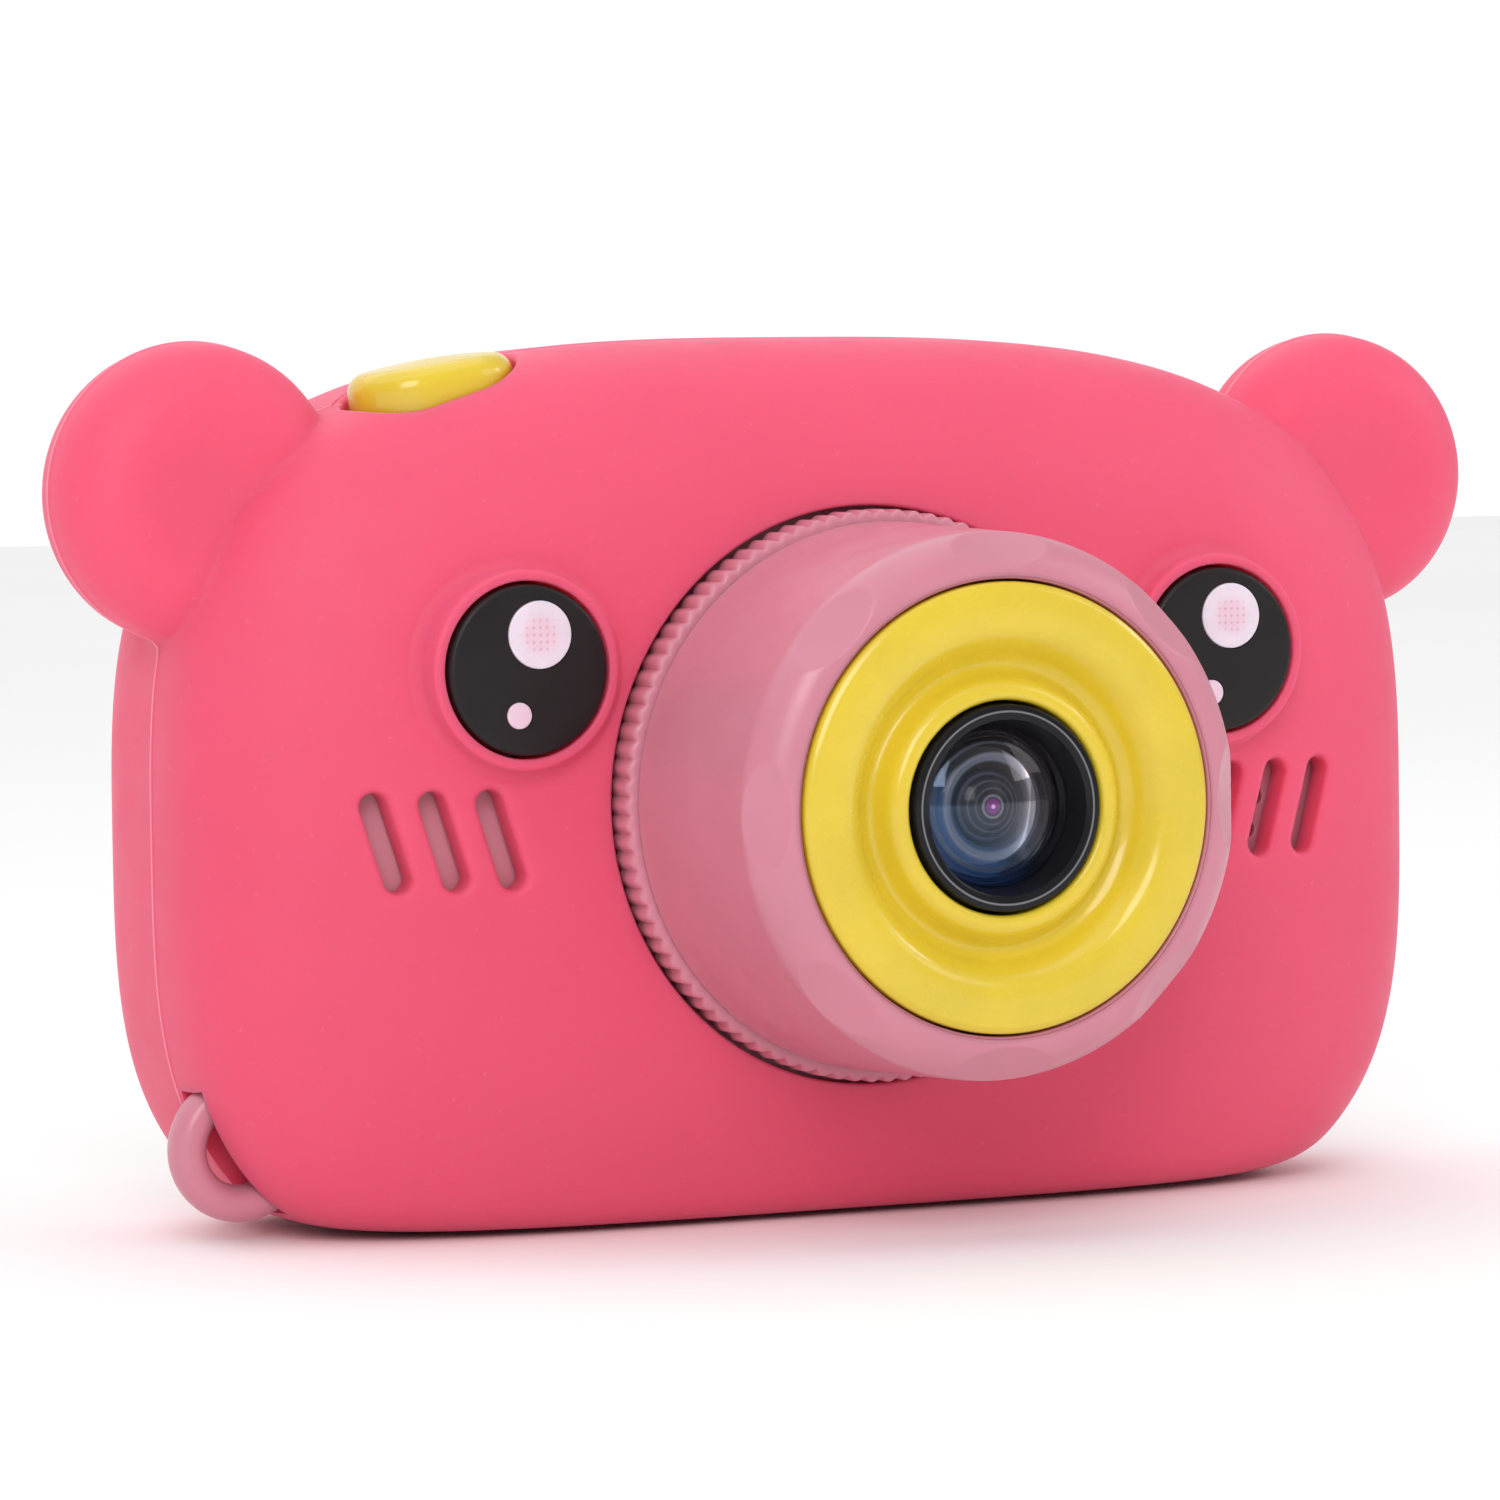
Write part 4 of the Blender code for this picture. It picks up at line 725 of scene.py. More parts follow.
def silicone(colours):
    """Soft matte silicone: light enters it, so thin rims glow, and a faint dusty film lies on it. Its colour is
    painted lighter towards the top, and a painted highlight runs along the mould line.
    """
    nodes = moulded("cover silicone", colours.cover, 0.5, 0.16 * MM, 0.006 * MM, 0.035, 16 * MM, 0.05)
    shader = nodes.shader
    shader.subsurface_method = "RANDOM_WALK"
    shader.inputs["Subsurface Weight"].default_value = 0.55
    shader.inputs["Subsurface Radius"].default_value = (1.0, 0.32, 0.36)
    shader.inputs["Subsurface Scale"].default_value = 3.0 * MM
    shader.inputs["Specular IOR Level"].default_value = 0.22
    shader.inputs["Sheen Weight"].default_value = 0.03
    shader.inputs["Sheen Roughness"].default_value = 0.55
    shader.inputs["Sheen Tint"].default_value = (1.0, 0.72, 0.78, 1.0)
    # painted light: the cover's colour is painted lighter towards the top, where the light falls
    lift = nodes.ranged(nodes.axes()[2], 0.0, 64 * MM, 0.0, 1.0, False)
    painted_top_light_tone = nodes.mix(lift, shade(colours.cover, 0.93), shade(colours.cover, 1.05))
    dust = nodes.ranged(nodes.noise(0.5 * MM, 6.0), 0.64, 0.8, 0.0, 0.10)
    tint = nodes.mix(0.5, nodes.colour, painted_top_light_tone)
    # painted highlight: a lighter pink band along the mould line, where its raised ridge catches the light
    axes = nodes.axes((0.0, PARTING_Y, 0.0))
    line = nodes.ranged(nodes.sum("ABSOLUTE", axes[1]), 0.08 * MM, 0.17 * MM, 0.5, 0.0)
    line = nodes.sum("MULTIPLY", line, nodes.ranged(axes[2], 5 * MM, 9 * MM, 0.0, 1.0))
    tint = nodes.mix(line, tint, (1.0, 0.42, 0.52, 1.0))
    nodes.put(shader.inputs["Base Color"], nodes.mix(dust, tint, (1.0, 0.72, 0.78, 1.0)))
    return nodes.material


def light_plastic(colours):
    """Pale pink satin plastic with a fine spark-eroded grain."""
    return moulded("light pink plastic", colours.plastic, 0.36, 0.12 * MM, 0.004 * MM, 0.03, 9 * MM, 0.07,
                   Subsurface_Weight=0.12, Subsurface_Scale=1.2 * MM,
                   Subsurface_Radius=(1.0, 0.5, 0.5), Coat_Weight=0.12, Coat_Roughness=0.3).material


def yellow_plastic(colours, name="yellow plastic", ripple=0.0):
    """Glossy yellow plastic with a shallow flow ripple."""
    return moulded(name, colours.accent, 0.25, 0.3 * MM, 0.003 * MM, 0.04, 7 * MM, 0.06, ripple,
                   Subsurface_Weight=0.1, Subsurface_Scale=1.0 * MM,
                   Subsurface_Radius=(1.0, 0.7, 0.2), Coat_Weight=0.25, Coat_Roughness=0.12).material


def black_plastic(colours, name="black plastic", rough=0.3):
    """Smooth black plastic with faint haze."""
    return moulded(name, colours.black, rough, 0.2 * MM, 0.002 * MM, 0.12, 4 * MM, 0.05,
                   Specular_IOR_Level=0.3).material


def frosted_plastic(colours, x, z, pitch, dotted):
    """Frosted diffuser: a faint warm glow and a grid of fine dots round its middle."""
    nodes = moulded(f"frosted diffuser {round(x / MM)} {round(z / MM)}", colours.frosted, 0.38, 0.1 * MM,
                    0.003 * MM, 0.03, 2 * MM, 0.06, Subsurface_Weight=0.35, Subsurface_Scale=0.8 * MM)
    axes = nodes.axes((x, 0.0, z))
    waves = [nodes.wave("COSINE", axis, pitch) for axis in (axes[0], axes[2])]
    dots = nodes.ranged(nodes.sum("ADD", *waves), 0.7, 1.5, 0.0, 1.0)
    near = nodes.ranged(nodes.radius(x, z), 0.8 * MM, 1.7 * MM, 1.0, 0.0)
    glow = nodes.mix(nodes.sum("MULTIPLY", near, 0.3), nodes.colour, (0.86, 0.36, 0.5, 1.0))
    share = nodes.sum("MULTIPLY", nodes.sum("MULTIPLY", dots, near), 0.35 * dotted)
    tint = nodes.mix(share, glow, (0.5, 0.16, 0.28, 1.0))
    nodes.put(nodes.shader.inputs["Base Color"], tint)
    return nodes.material


def lens_rings_and_painted_reflection(name, spot, bands, rough=0.16):
    """Dark optical part: rings of colour round the lens axis, each (radius, width, colour, share), and a
    painted blue reflection that grows towards the lower left."""
    nodes = moulded(name, (0.008, 0.008, 0.010), rough, 0.3 * MM, 0.0, 0.2, 3 * MM, 0.03,
                    Specular_IOR_Level=0.22)
    reach = nodes.radius(*spot)
    axes = nodes.axes((spot[0], 0.0, spot[1]))
    slope = nodes.sum("ADD", axes[0], axes[2])
    tint = nodes.colour
    # painted reflection: a blue reflection painted into the colour, strongest towards the lower left
    painted_reflection_low_left = nodes.ranged(slope, -4.5 * MM, 0.5 * MM, 1.0, 0.0)
    inside = nodes.ranged(reach, 5.0 * MM, 5.6 * MM, 1.0, 0.0)
    outside = nodes.ranged(reach, 2.4 * MM, 3.2 * MM, 0.0, 1.0)
    painted_blue_reflection = nodes.sum("MULTIPLY", nodes.sum("MULTIPLY", inside, outside), painted_reflection_low_left)
    tint = nodes.mix(nodes.sum("MULTIPLY", painted_blue_reflection, 0.85), tint, (0.045, 0.10, 0.26, 1.0))
    for middle, width, colour, share in bands:
        distance = nodes.sum("ABSOLUTE", nodes.sum("SUBTRACT", reach, middle))
        mask = nodes.ranged(distance, width * 0.4, width, share, 0.0)
        tint = nodes.mix(mask, tint, colour)
    nodes.put(nodes.shader.inputs["Base Color"], tint)
    return nodes.material


def lens_glass():
    """Thin clear dome: it reflects as glass does, by Fresnel's rule, with its reflection painted blue at the
    lower left, turning to a painted pink reflection at the upper right, and lets the rest straight through."""
    nodes = moulded("lens glass painted reflection tint", (0.9, 0.93, 1.0), 0.03, 0.5 * MM, 0.0, 0.03, 4 * MM, 0.01,
                    Metallic=1.0)
    # painted reflection: the dome's reflection colour is painted blue at the lower left and pink at the upper
    # right
    tilt = nodes.axes((0.0, 0.0, LENS_Z))
    side = nodes.ranged(nodes.sum("ADD", tilt[0], tilt[2]), -5 * MM, 5 * MM, 0.0, 1.0)
    tint = nodes.mix(side, (0.45, 0.66, 1.0, 1.0), (1.0, 0.9, 0.96, 1.0))
    nodes.put(nodes.shader.inputs["Base Color"], tint)
    fresnel = nodes.add("ShaderNodeFresnel")
    fresnel.inputs["IOR"].default_value = 1.5
    nodes.put(nodes.shader.inputs["Alpha"], nodes.sum("MULTIPLY_ADD", fresnel.outputs[0], 0.75, 0.0))
    return nodes.material


def screen_finish():
    """Dark glossy window: a black printed border round a slightly lighter display, painted lighter towards the
    top, with dust.
    """
    nodes = moulded("screen window", (0.012, 0.012, 0.014), 0.06, 0.4 * MM, 0.001 * MM, 0.1, 9 * MM, 0.03,
                    Coat_Weight=1.0, Coat_Roughness=0.03)
    axes = nodes.axes(tuple(centre("lcd_window")))
    across = nodes.ranged(nodes.sum("ABSOLUTE", axes[0]), 19.4 * MM, 19.7 * MM, 1.0, 0.0)
    along = nodes.ranged(nodes.sum("ABSOLUTE", axes[2]), 14.4 * MM, 14.7 * MM, 1.0, 0.0)
    inside = nodes.sum("MULTIPLY", across, along)
    # painted light: the display's colour is painted lighter towards the top
    upward = nodes.ranged(axes[2], -15 * MM, 15 * MM, 0.0, 1.0)
    panel = nodes.mix(upward, (0.02, 0.028, 0.036, 1.0), (0.035, 0.045, 0.055, 1.0))
    nodes.put(nodes.shader.inputs["Base Color"], nodes.mix(inside, nodes.colour, panel))
    return nodes.material


def metal(name, colour, rough, stretch):
    """Plated metal with fine lines along one direction and dull patches."""
    nodes = moulded(name, colour, rough, 0.3 * MM, 0.0, 0.06, 5 * MM, 0.08, Metallic=1.0)
    lines = nodes.noise(0.2 * MM, 2.0, stretch)
    nodes.put(nodes.shader.inputs["Normal"], nodes.bump(lines, 0.004 * MM))
    return nodes.material


def solder_mask():
    """Green circuit board: lighter tracks under the mask and small vias."""
    nodes = moulded("green solder mask", (0.012, 0.10, 0.035), 0.35, 0.2 * MM, 0.002 * MM, 0.12, 6 * MM, 0.08)
    axes = nodes.axes()
    waves = [nodes.wave("SINE", axis, 1.3 * MM) for axis in (axes[0], axes[2])]
    broken = nodes.ranged(nodes.noise(5 * MM, 1.0), 0.47, 0.53, 0.0, 1.0)
    lines = nodes.mix(broken, waves[0], waves[1])
    tracks = nodes.ranged(lines, 0.45, 0.6, 0.0, 0.55)
    spots = nodes.ranged(nodes.cells(2.6 * MM), 0.10, 0.14, 1.0, 0.0)
    tint = nodes.mix(tracks, nodes.colour, (0.03, 0.22, 0.075, 1.0))
    tint = nodes.mix(spots, tint, (0.75, 0.6, 0.28, 1.0))
    nodes.put(nodes.shader.inputs["Base Color"], tint)
    nodes.put(nodes.shader.inputs["Normal"], nodes.bump(nodes.sum("ADD", tracks, spots), 0.03 * MM))
    return nodes.material


def foil():
    """Silver battery pouch with soft creases."""
    nodes = moulded("battery foil", (0.68, 0.69, 0.71), 0.32, 0.4 * MM, 0.0, 0.05, 6 * MM, 0.1, Metallic=0.85)
    creases = nodes.cells(5 * MM, "DISTANCE_TO_EDGE")
    fold = nodes.bump(nodes.ranged(creases, 0.0, 0.12, 0.0, 1.0), 0.12 * MM)
    nodes.put(nodes.shader.inputs["Normal"], nodes.bump(nodes.noise(1.5 * MM, 3.0), 0.05 * MM, 1.0, fold))
    return nodes.material


def foam():
    """Black closed-cell foam."""
    nodes = moulded("black foam", (0.03, 0.03, 0.032), 0.9, 0.3 * MM, 0.0, 0.25, 3 * MM, 0.05)
    nodes.put(nodes.shader.inputs["Normal"], nodes.bump(nodes.cells(0.35 * MM), 0.12 * MM))
    return nodes.material


def card_plastic(low, middle):
    """Black card with gold contact pads in a row along its inner end, on the front face only."""
    nodes = moulded("black card plastic", (0.018, 0.018, 0.02), 0.42, 0.12 * MM, 0.003 * MM, 0.15, 3 * MM)
    axes = nodes.axes((low[0], 0.0, middle[2]))
    pads = nodes.ranged(nodes.wave("COSINE", axes[2], 1.1 * MM), -0.3, 0.0, 0.0, 1.0)
    pads = nodes.sum("MULTIPLY", pads, nodes.ranged(axes[0], 3.4 * MM, 3.6 * MM, 1.0, 0.0))
    through = nodes.axes((0.0, middle[1], 0.0))[1]
    pads = nodes.sum("MULTIPLY", pads, nodes.ranged(through, -0.3 * MM, -0.2 * MM, 1.0, 0.0))
    nodes.put(nodes.shader.inputs["Base Color"], nodes.mix(pads, nodes.colour, (0.8, 0.55, 0.2, 1.0)))
    return nodes.material


# ---------------------------------------------------------------------------------------------
# Settings
# ---------------------------------------------------------------------------------------------

def colour_setting(name, about, default):
    """A colour property."""
    return FloatVectorProperty(name=name, description=about, subtype="COLOR", size=3, min=0.0, max=1.0,
                               default=default)


def length_setting(name, about, default):
    """A length property, in metres."""
    return FloatProperty(name=name, description=about, subtype="DISTANCE", unit="LENGTH", min=0.0,
                         precision=5, default=default)


class BearCameraColours(PropertyGroup):
    """Colours of the camera's finishes."""
    cover: colour_setting("Cover", "Soft silicone cover", (0.80, 0.098, 0.185))
    plastic: colour_setting("Plastic", "Barrel, loop and hard shell", (0.60, 0.215, 0.285))
    accent: colour_setting("Accent", "Bezel, shutter button and keys", (0.72, 0.53, 0.03))
    black: colour_setting("Black", "Eyes and lens ring", (0.010, 0.007, 0.008))
    frosted: colour_setting("Frosted", "Flash diffusers and glints", (0.80, 0.69, 0.78))


class BearCameraSizes(PropertyGroup):
    """Sizes of the details that the frame leaves open."""
    seam: length_setting("Mould line", "Height of the mould line round the cover", 0.11 * MM)
    lip: length_setting("Lip", "Radius of the rolled lips round the cover's holes", 0.55 * MM)
    fillet: length_setting("Eye fillet", "Fillet where an eye's seat leaves the cover", 0.9 * MM)
    ribs: IntProperty(name="Ribs", description="Ribs round the foot of the barrel", default=96, min=12)
    rib_height: length_setting("Rib height", "Height of the ribs", 0.34 * MM)
    dimples: IntProperty(name="Dimples", description="Finger dimples round the barrel's edge", default=8,
                         min=0)
    dimple_depth: length_setting("Dimple depth", "Depth of a finger dimple", 0.55 * MM)
    crown: length_setting("Key crown", "How far a key's top swells", 0.22 * MM)


class BearCameraStage(PropertyGroup):
    """Camera and light."""
    eye: FloatVectorProperty(name="Camera", description="Place of the camera", subtype="TRANSLATION",
                             unit="LENGTH", size=3, default=(-0.20371, -0.41478, 0.05551))
    target: FloatVectorProperty(name="Target", description="Point that the camera looks at",
                                subtype="TRANSLATION", unit="LENGTH", size=3,
                                default=(-0.009995, FACE_Y, 0.03363))
    roll: FloatProperty(name="Roll", description="Turn of the camera about its line of sight",
                        subtype="ANGLE", unit="ROTATION", default=math.radians(-0.8))
    lens: FloatProperty(name="Lens", description="Focal length on a 36 mm wide sensor, in millimetres",
                        min=10.0, default=156.0)
    light: FloatProperty(name="Light", description="Strength of all lamps", min=0.0, default=1.0)
    floor: colour_setting("Floor", "Pale floor", (0.95, 0.95, 0.95))


# ---------------------------------------------------------------------------------------------
# Pieces
# ---------------------------------------------------------------------------------------------

def colours():
    """The colour settings."""
    return bpy.context.scene.bear_camera_colours


def sizes():
    """The size settings."""
    return bpy.context.scene.bear_camera_sizes


def slot_shapes():
    """Outlines of the six cheek slots."""
    for side, _ in SIDES:
        for x in SLOT_XS:
            yield turned_by(pill(*SLOT_SIZE, 56), math.pi / 2 - side * SLOT_LEAN, (side * x, SLOT_Z))


def soften_ear_roots(cover):
    """Run the ears softly into the body: a point's distance from each surface is its rounded
    radius less one, times the depth, and the smaller the sum of both the more it is smoothed."""
    points = np.empty(len(cover.data.vertices) * 3, np.float32)
    cover.data.vertices.foreach_get("co", points)
    x, y, z = points.reshape(-1, 3).T
    power, reach = half_reach(z, 0.0)
    spread = (np.abs(x) / HALF_WIDTH) ** power + (np.abs(z - WAIST_Z) / reach) ** power
    depth = np.where(y < PARTING_Y, FRONT_DEPTH, REAR_DEPTH)
    steep = np.where(y < PARTING_Y, FRONT_POWER, REAR_POWER)
    body = (spread ** (steep / power) + (np.abs(y - PARTING_Y) / depth) ** steep) ** (1 / steep)
    body = np.abs(body - 1) * FRONT_DEPTH
    away = np.hypot(np.abs(x) - EAR_X, z - EAR_Z) / EAR_RADIUS
    ear = (away ** EAR_POWER + (np.abs(y - PARTING_Y) / EAR_HALF_THICKNESS) ** EAR_POWER) ** (1 / EAR_POWER)
    ear = np.abs(ear - 1) * EAR_HALF_THICKNESS
    blend = 1.1 * MM
    weight = np.clip(1.25 - (body + ear) / blend, 0, 1)
    group = cover.vertex_groups.new(name="ear_roots")
    for share in range(1, 9):
        chosen = np.flatnonzero(np.round(weight * 8) == share)
        group.add(chosen.tolist(), share / 8, "REPLACE")
    modifier = cover.modifiers.new("Soften", "SMOOTH")
    modifier.vertex_group = group.name
    modifier.factor = 0.5
    modifier.iterations = 18
    keep_result(cover)


def base_pad():
    """Low flat pad under the cover, with a small round at its lower edge."""
    points, normals = turned_by(rounded_box(*BASE_PAD_HALF, 1.2 * MM, 64), 0.0, (0.0, BASE_PAD_Y))
    bend = np.radians(np.linspace(0, 90, 5))
    edge = 0.15 * MM
    rows = [(middle_of(points), BASE_PAD_THICKNESS), (points, BASE_PAD_THICKNESS)]
    for angle in bend:
        rows.append((points - normals * edge * (1 - math.cos(angle)), edge * (1 - math.sin(angle))))
    rows.append((middle_of(points), 0.0))
    return closed_skin(layered(rows))


class BEARCAM_OT_cover(Operator):
    """Soft cover with ears, eye seats, rolled lips and a mould line"""
    bl_idname = "bearcam.cover"
    bl_label = "Soft cover"

    def execute(self, context):
        size = sizes()
        cover = rough_piece("bear_cover", body_skin(0.0, 384, 62, size.seam))
        bumps = [ear_skin(side, size.seam) for side, _ in SIDES]
        bumps += [boss_skin(side, size.fillet) for side, _ in SIDES]
        carve(cover, "UNION", *bumps)
        soften_ear_roots(cover)
        carve(cover, "UNION", base_pad())
        carve(cover, "DIFFERENCE", body_skin(COVER_WALL, 160, 26))
        holes = [flared_hole(shape, front_y, XZ, size.lip, FACE_Y + 5 * MM, -1) for shape in slot_shapes()]
        barrel = turned_by(disc(BARREL_HOLE_RADIUS, 256), 0.0, (0.0, LENS_Z))
        holes.append(flared_hole(barrel, front_y, XZ, 0.3 * MM, BEHIND, -1))
        for side, _ in SIDES:
            eye = turned_by(disc(EYE_RADIUS + EYE_CLEARANCE, 128), 0.0, (side * EYE_X, EYE_Z))
            holes.append(flared_hole(eye, eye_seat, XZ, 0.2 * MM, BEHIND, -1))
        button = turned_by(bean(SHUTTER_CLEARANCE, 128), 0.0, SHUTTER_SPOT[:2])
        holes.append(flared_hole(button, top_z, XY, 0.5 * MM, SHUTTER_SPOT[2] - 9 * MM, 1,
                                 (math.tan(SHUTTER_TILT), 0.0)))
        panel = squared(PANEL_HALF[0] + PANEL_CLEARANCE, PANEL_HALF[1] + PANEL_CLEARANCE, PANEL_POWER, 360)
        panel = turned_by(panel, 0.0, (0.0, PANEL_Z))
        holes.append(flared_hole(panel, rear_y, XZ, 0.7 * MM, PARTING_Y + 7 * MM, 1))
        for node, half in (("usb_socket", 6.0 * MM), ("card_socket", 7.8 * MM)):
            port = port_shape(node, 3.3 * MM, half, 2.2 * MM, 96)
            holes.append(flared_hole(port, side_x, YZ, 0.5 * MM, 40 * MM, 1))
        carve(cover, "DIFFERENCE", *holes)
        # a disc-shaped slot lets the lanyard loop through
        slot = turned_by(disc(LOOP_RADIUS + 1.55 * MM, 96), 0.0, (LOOP_SPOT[0], LOOP_SPOT[2]))
        half = 1.75 * MM
        carve(cover, "DIFFERENCE", straight_hole(slot, LOOP_SPOT[1] - half, LOOP_SPOT[1] + half))
        finished(cover, silicone(colours()), "camera", "cover_silicone", "silicone_cover", crease=50.0)
        return {"FINISHED"}


def loop_skin(thick, wide):
    """The lanyard loop: an oval section carried round a circle that faces the front."""
    turn, around = angles(120)[:, None], angles(48)
    section = signed_power(np.cos(around), 0.9) * thick, signed_power(np.sin(around), 0.9) * wide
    reach = LOOP_RADIUS + section[0]
    grid = np.stack((LOOP_SPOT[0] + reach * np.cos(turn), LOOP_SPOT[1] + section[1] + 0 * turn,
                     LOOP_SPOT[2] + reach * np.sin(turn)), -1)
    return closed_skin(grid, True)


class BEARCAM_OT_housing(Operator):
    """Front and rear halves of the hard shell, with the lanyard loop and the raised rear panel"""
    bl_idname = "bearcam.housing"
    bl_label = "Hard shell"

    def execute(self, context):
        plastic = light_plastic(colours())
        front = rough_piece("front_housing", body_skin(SHELL_INSET, 200, 34))
        carve(front, "DIFFERENCE", body_skin(CAVITY_INSET, 140, 24))
        carve(front, "DIFFERENCE", block((-FAR, SPLIT_Y - GAP / 2, -FAR), (FAR, FAR, FAR)))
        carve(front, "UNION", loop_skin(1.3 * MM, 1.5 * MM))
        holes = [bored(0.0, LENS_Z, LENS_HOLE_RADIUS, AHEAD, BEHIND, 96)]
        for _, word in SIDES:
            holes.append(bored(*axis_of("flash_diffuser_" + word), DIFFUSER_HOLE_RADIUS, AHEAD, BEHIND))
        for step in (1.25 * MM, -1.25 * MM):
            spot = SLOT_XS[1] + step * math.sin(SLOT_LEAN), SLOT_Z - 0.5 * MM + step * math.cos(SLOT_LEAN)
            hole = turned_by(disc(SOUND_HOLE_RADIUS, 32), 0.0, spot)
            holes.append(flared_hole(hole, shell_front, XZ, 0.12 * MM, FACE_Y + 10 * MM, -1))
        for number in (1, 2, 3):
            holes.append(bored(*axis_of(f"barrel_screw_{number}"), PILOT_RADIUS, AHEAD, BEHIND, 24))
        carve(front, "DIFFERENCE", *holes)
        opening = shutter_column(bean(0.3 * MM, 64)[0], -8.6 * MM, 6 * MM)
        carve(front, "DIFFERENCE", opening)
        finished(front, plastic, "camera", "shell_plastic", "front_shell")

        rear = rough_piece("rear_housing", body_skin(SHELL_INSET, 200, 34))
        # the raised panel: a superellipse whose rear edge is a quarter round
        outline, normals = squared(*PANEL_HALF, PANEL_POWER, 360)
        edge, foot = 0.9 * MM, FACE_Y + 22 * MM
        bend = np.radians(np.linspace(0, 90, 8))
        shrink = np.concatenate(([0.0], edge * (1 - np.cos(bend))))
        levels = np.concatenate(([foot], PANEL_Y - edge * (1 - np.sin(bend))))
        rows = [(0 * outline, foot)]
        rows += [(outline - normals * cut, level) for cut, level in zip(shrink, levels)]
        rows.append((0 * outline, PANEL_Y))
        grid = layered(rows)[..., XZ]
        grid[..., 2] += PANEL_Z
        carve(rear, "UNION", closed_skin(grid))
        carve(rear, "DIFFERENCE", body_skin(CAVITY_INSET, 140, 24))
        wall, inside, past = 1.6 * MM, PANEL_Y - 8 * MM, PANEL_Y + 5 * MM
        room = squared(PANEL_HALF[0] - wall, PANEL_HALF[1] - wall, PANEL_POWER, 120)
        room = turned_by(room, 0.0, (0.0, PANEL_Z))
        carve(rear, "DIFFERENCE", straight_hole(room, FACE_Y + 20 * MM, PANEL_Y - 2.5 * MM))
        carve(rear, "DIFFERENCE", block((-FAR, -FAR, -FAR), (FAR, SPLIT_Y + GAP / 2, FAR)))
        window = axis_of("lcd_window")
        recess = turned_by(rounded_box(23.3 * MM, 17.8 * MM, 3.3 * MM, 96), 0.0, window)
        holes = [flared_hole(recess, rear_panel, XZ, 0.15 * MM, PANEL_Y - 1.3 * MM, 1)]
        for key in KEYS:
            hole = turned_by(disc(key_radius(key) + KEY_CLEARANCE, 72), 0.0, axis_of(key + "_button"))
            holes.append(flared_hole(hole, rear_panel, XZ, 0.35 * MM, inside, 1))
        carve(rear, "DIFFERENCE", *holes)
        aperture = turned_by(rounded_box(20.5 * MM, 15.5 * MM, 1.0 * MM, 48), 0.0, window)
        holes = [straight_hole(aperture, inside, past)]
        for screw in [f"case_screw_{word}_{number}" for _, word in SIDES for number in (1, 2)]:
            holes.append(bored(*axis_of(screw), SCREW_HOLE_RADIUS, SPLIT_Y - 5 * MM, past, 32))
        for node, half in (("usb_socket", 4.8 * MM), ("card_socket", 6.7 * MM)):
            port = port_shape(node, 2.35 * MM, half, 0.8 * MM, 64)
            holes.append(flared_hole(port, shell_side, YZ, 0.3 * MM, 36 * MM, 1))
        carve(rear, "DIFFERENCE", *holes)
        carve(rear, "DIFFERENCE", opening)
        finished(rear, plastic, "camera", "shell_plastic", "rear_shell")
        return {"FINISHED"}


def key_radius(key):
    """Radius of a rear key's face, read from its collar."""
    low, high = corners(key + "_button")
    return (high[0] - low[0]) / 2 - KEY_COLLAR


def barrel_skin(size):
    """The barrel: a profile carried round the lens axis. A finger dimple sinks the rounded edge
    along its 45 degree normal by the depth times (1 - q)^0.9, where q is the sum of the squared
    distances from the dimple's middle, round the barrel and down the edge, in half lengths."""
    face, front, back = FACE_Y / MM, BARREL_LOW[1] / MM, BARREL_HIGH[1] / MM
    edge = 3.0
    edge_radius = 18.75 - edge
    seat = BEZEL_RADIUS / MM + 0.18
    profile = profile_of(
        arc(seat + 0.25, front + 0.25, 0.25, 180, 95, 5),
        np.column_stack((np.linspace(seat + 0.4, edge_radius - 0.1, 3), np.full(3, front))),
        arc(edge_radius, front + edge, edge, 90, 0, 40),
        np.column_stack((np.linspace(18.78, 19.28, 14), np.linspace(front + edge + 1.0, face - 1.9, 14))),
        (19.3, face - 1.65), (18.3, face - 1.6), (18.3, back), (16.5, back), (16.5, face - 1.4),
        (16.85, face - 12.7), (15.85, face - 14.2), (7.35, face - 14.2), (7.35, face - 15.7),
        (seat, face - 15.7))
    turn = angles(512)
    radius, y = profile[:, :1] + 0 * turn, profile[:, 1:] + 0 * turn
    lean = math.sqrt(0.5)
    middle_radius = (edge_radius + edge * lean) * MM
    middle_y = (front + edge - edge * lean) * MM
    step = math.tau / max(size.dimples, 1)
    across = (turn + step / 2) % step - step / 2
    slide = ((radius - middle_radius) + (y - middle_y)) * lean
    oval = (across * middle_radius / (3.6 * MM)) ** 2 + (slide / (1.75 * MM)) ** 2
    on_edge = (profile[:, :1] > (edge_radius - 0.2) * MM) & (profile[:, 1:] < (front + edge + 2) * MM)
    sink = np.where(on_edge, size.dimple_depth * np.clip(1 - oval, 0, 1) ** 0.9, 0) * (size.dimples > 0)
    radius, y = radius - sink * lean, y + sink * lean
    grid = np.stack((radius * np.cos(turn), y, LENS_Z + radius * np.sin(turn)), -1)
    return closed_skin(grid, True)


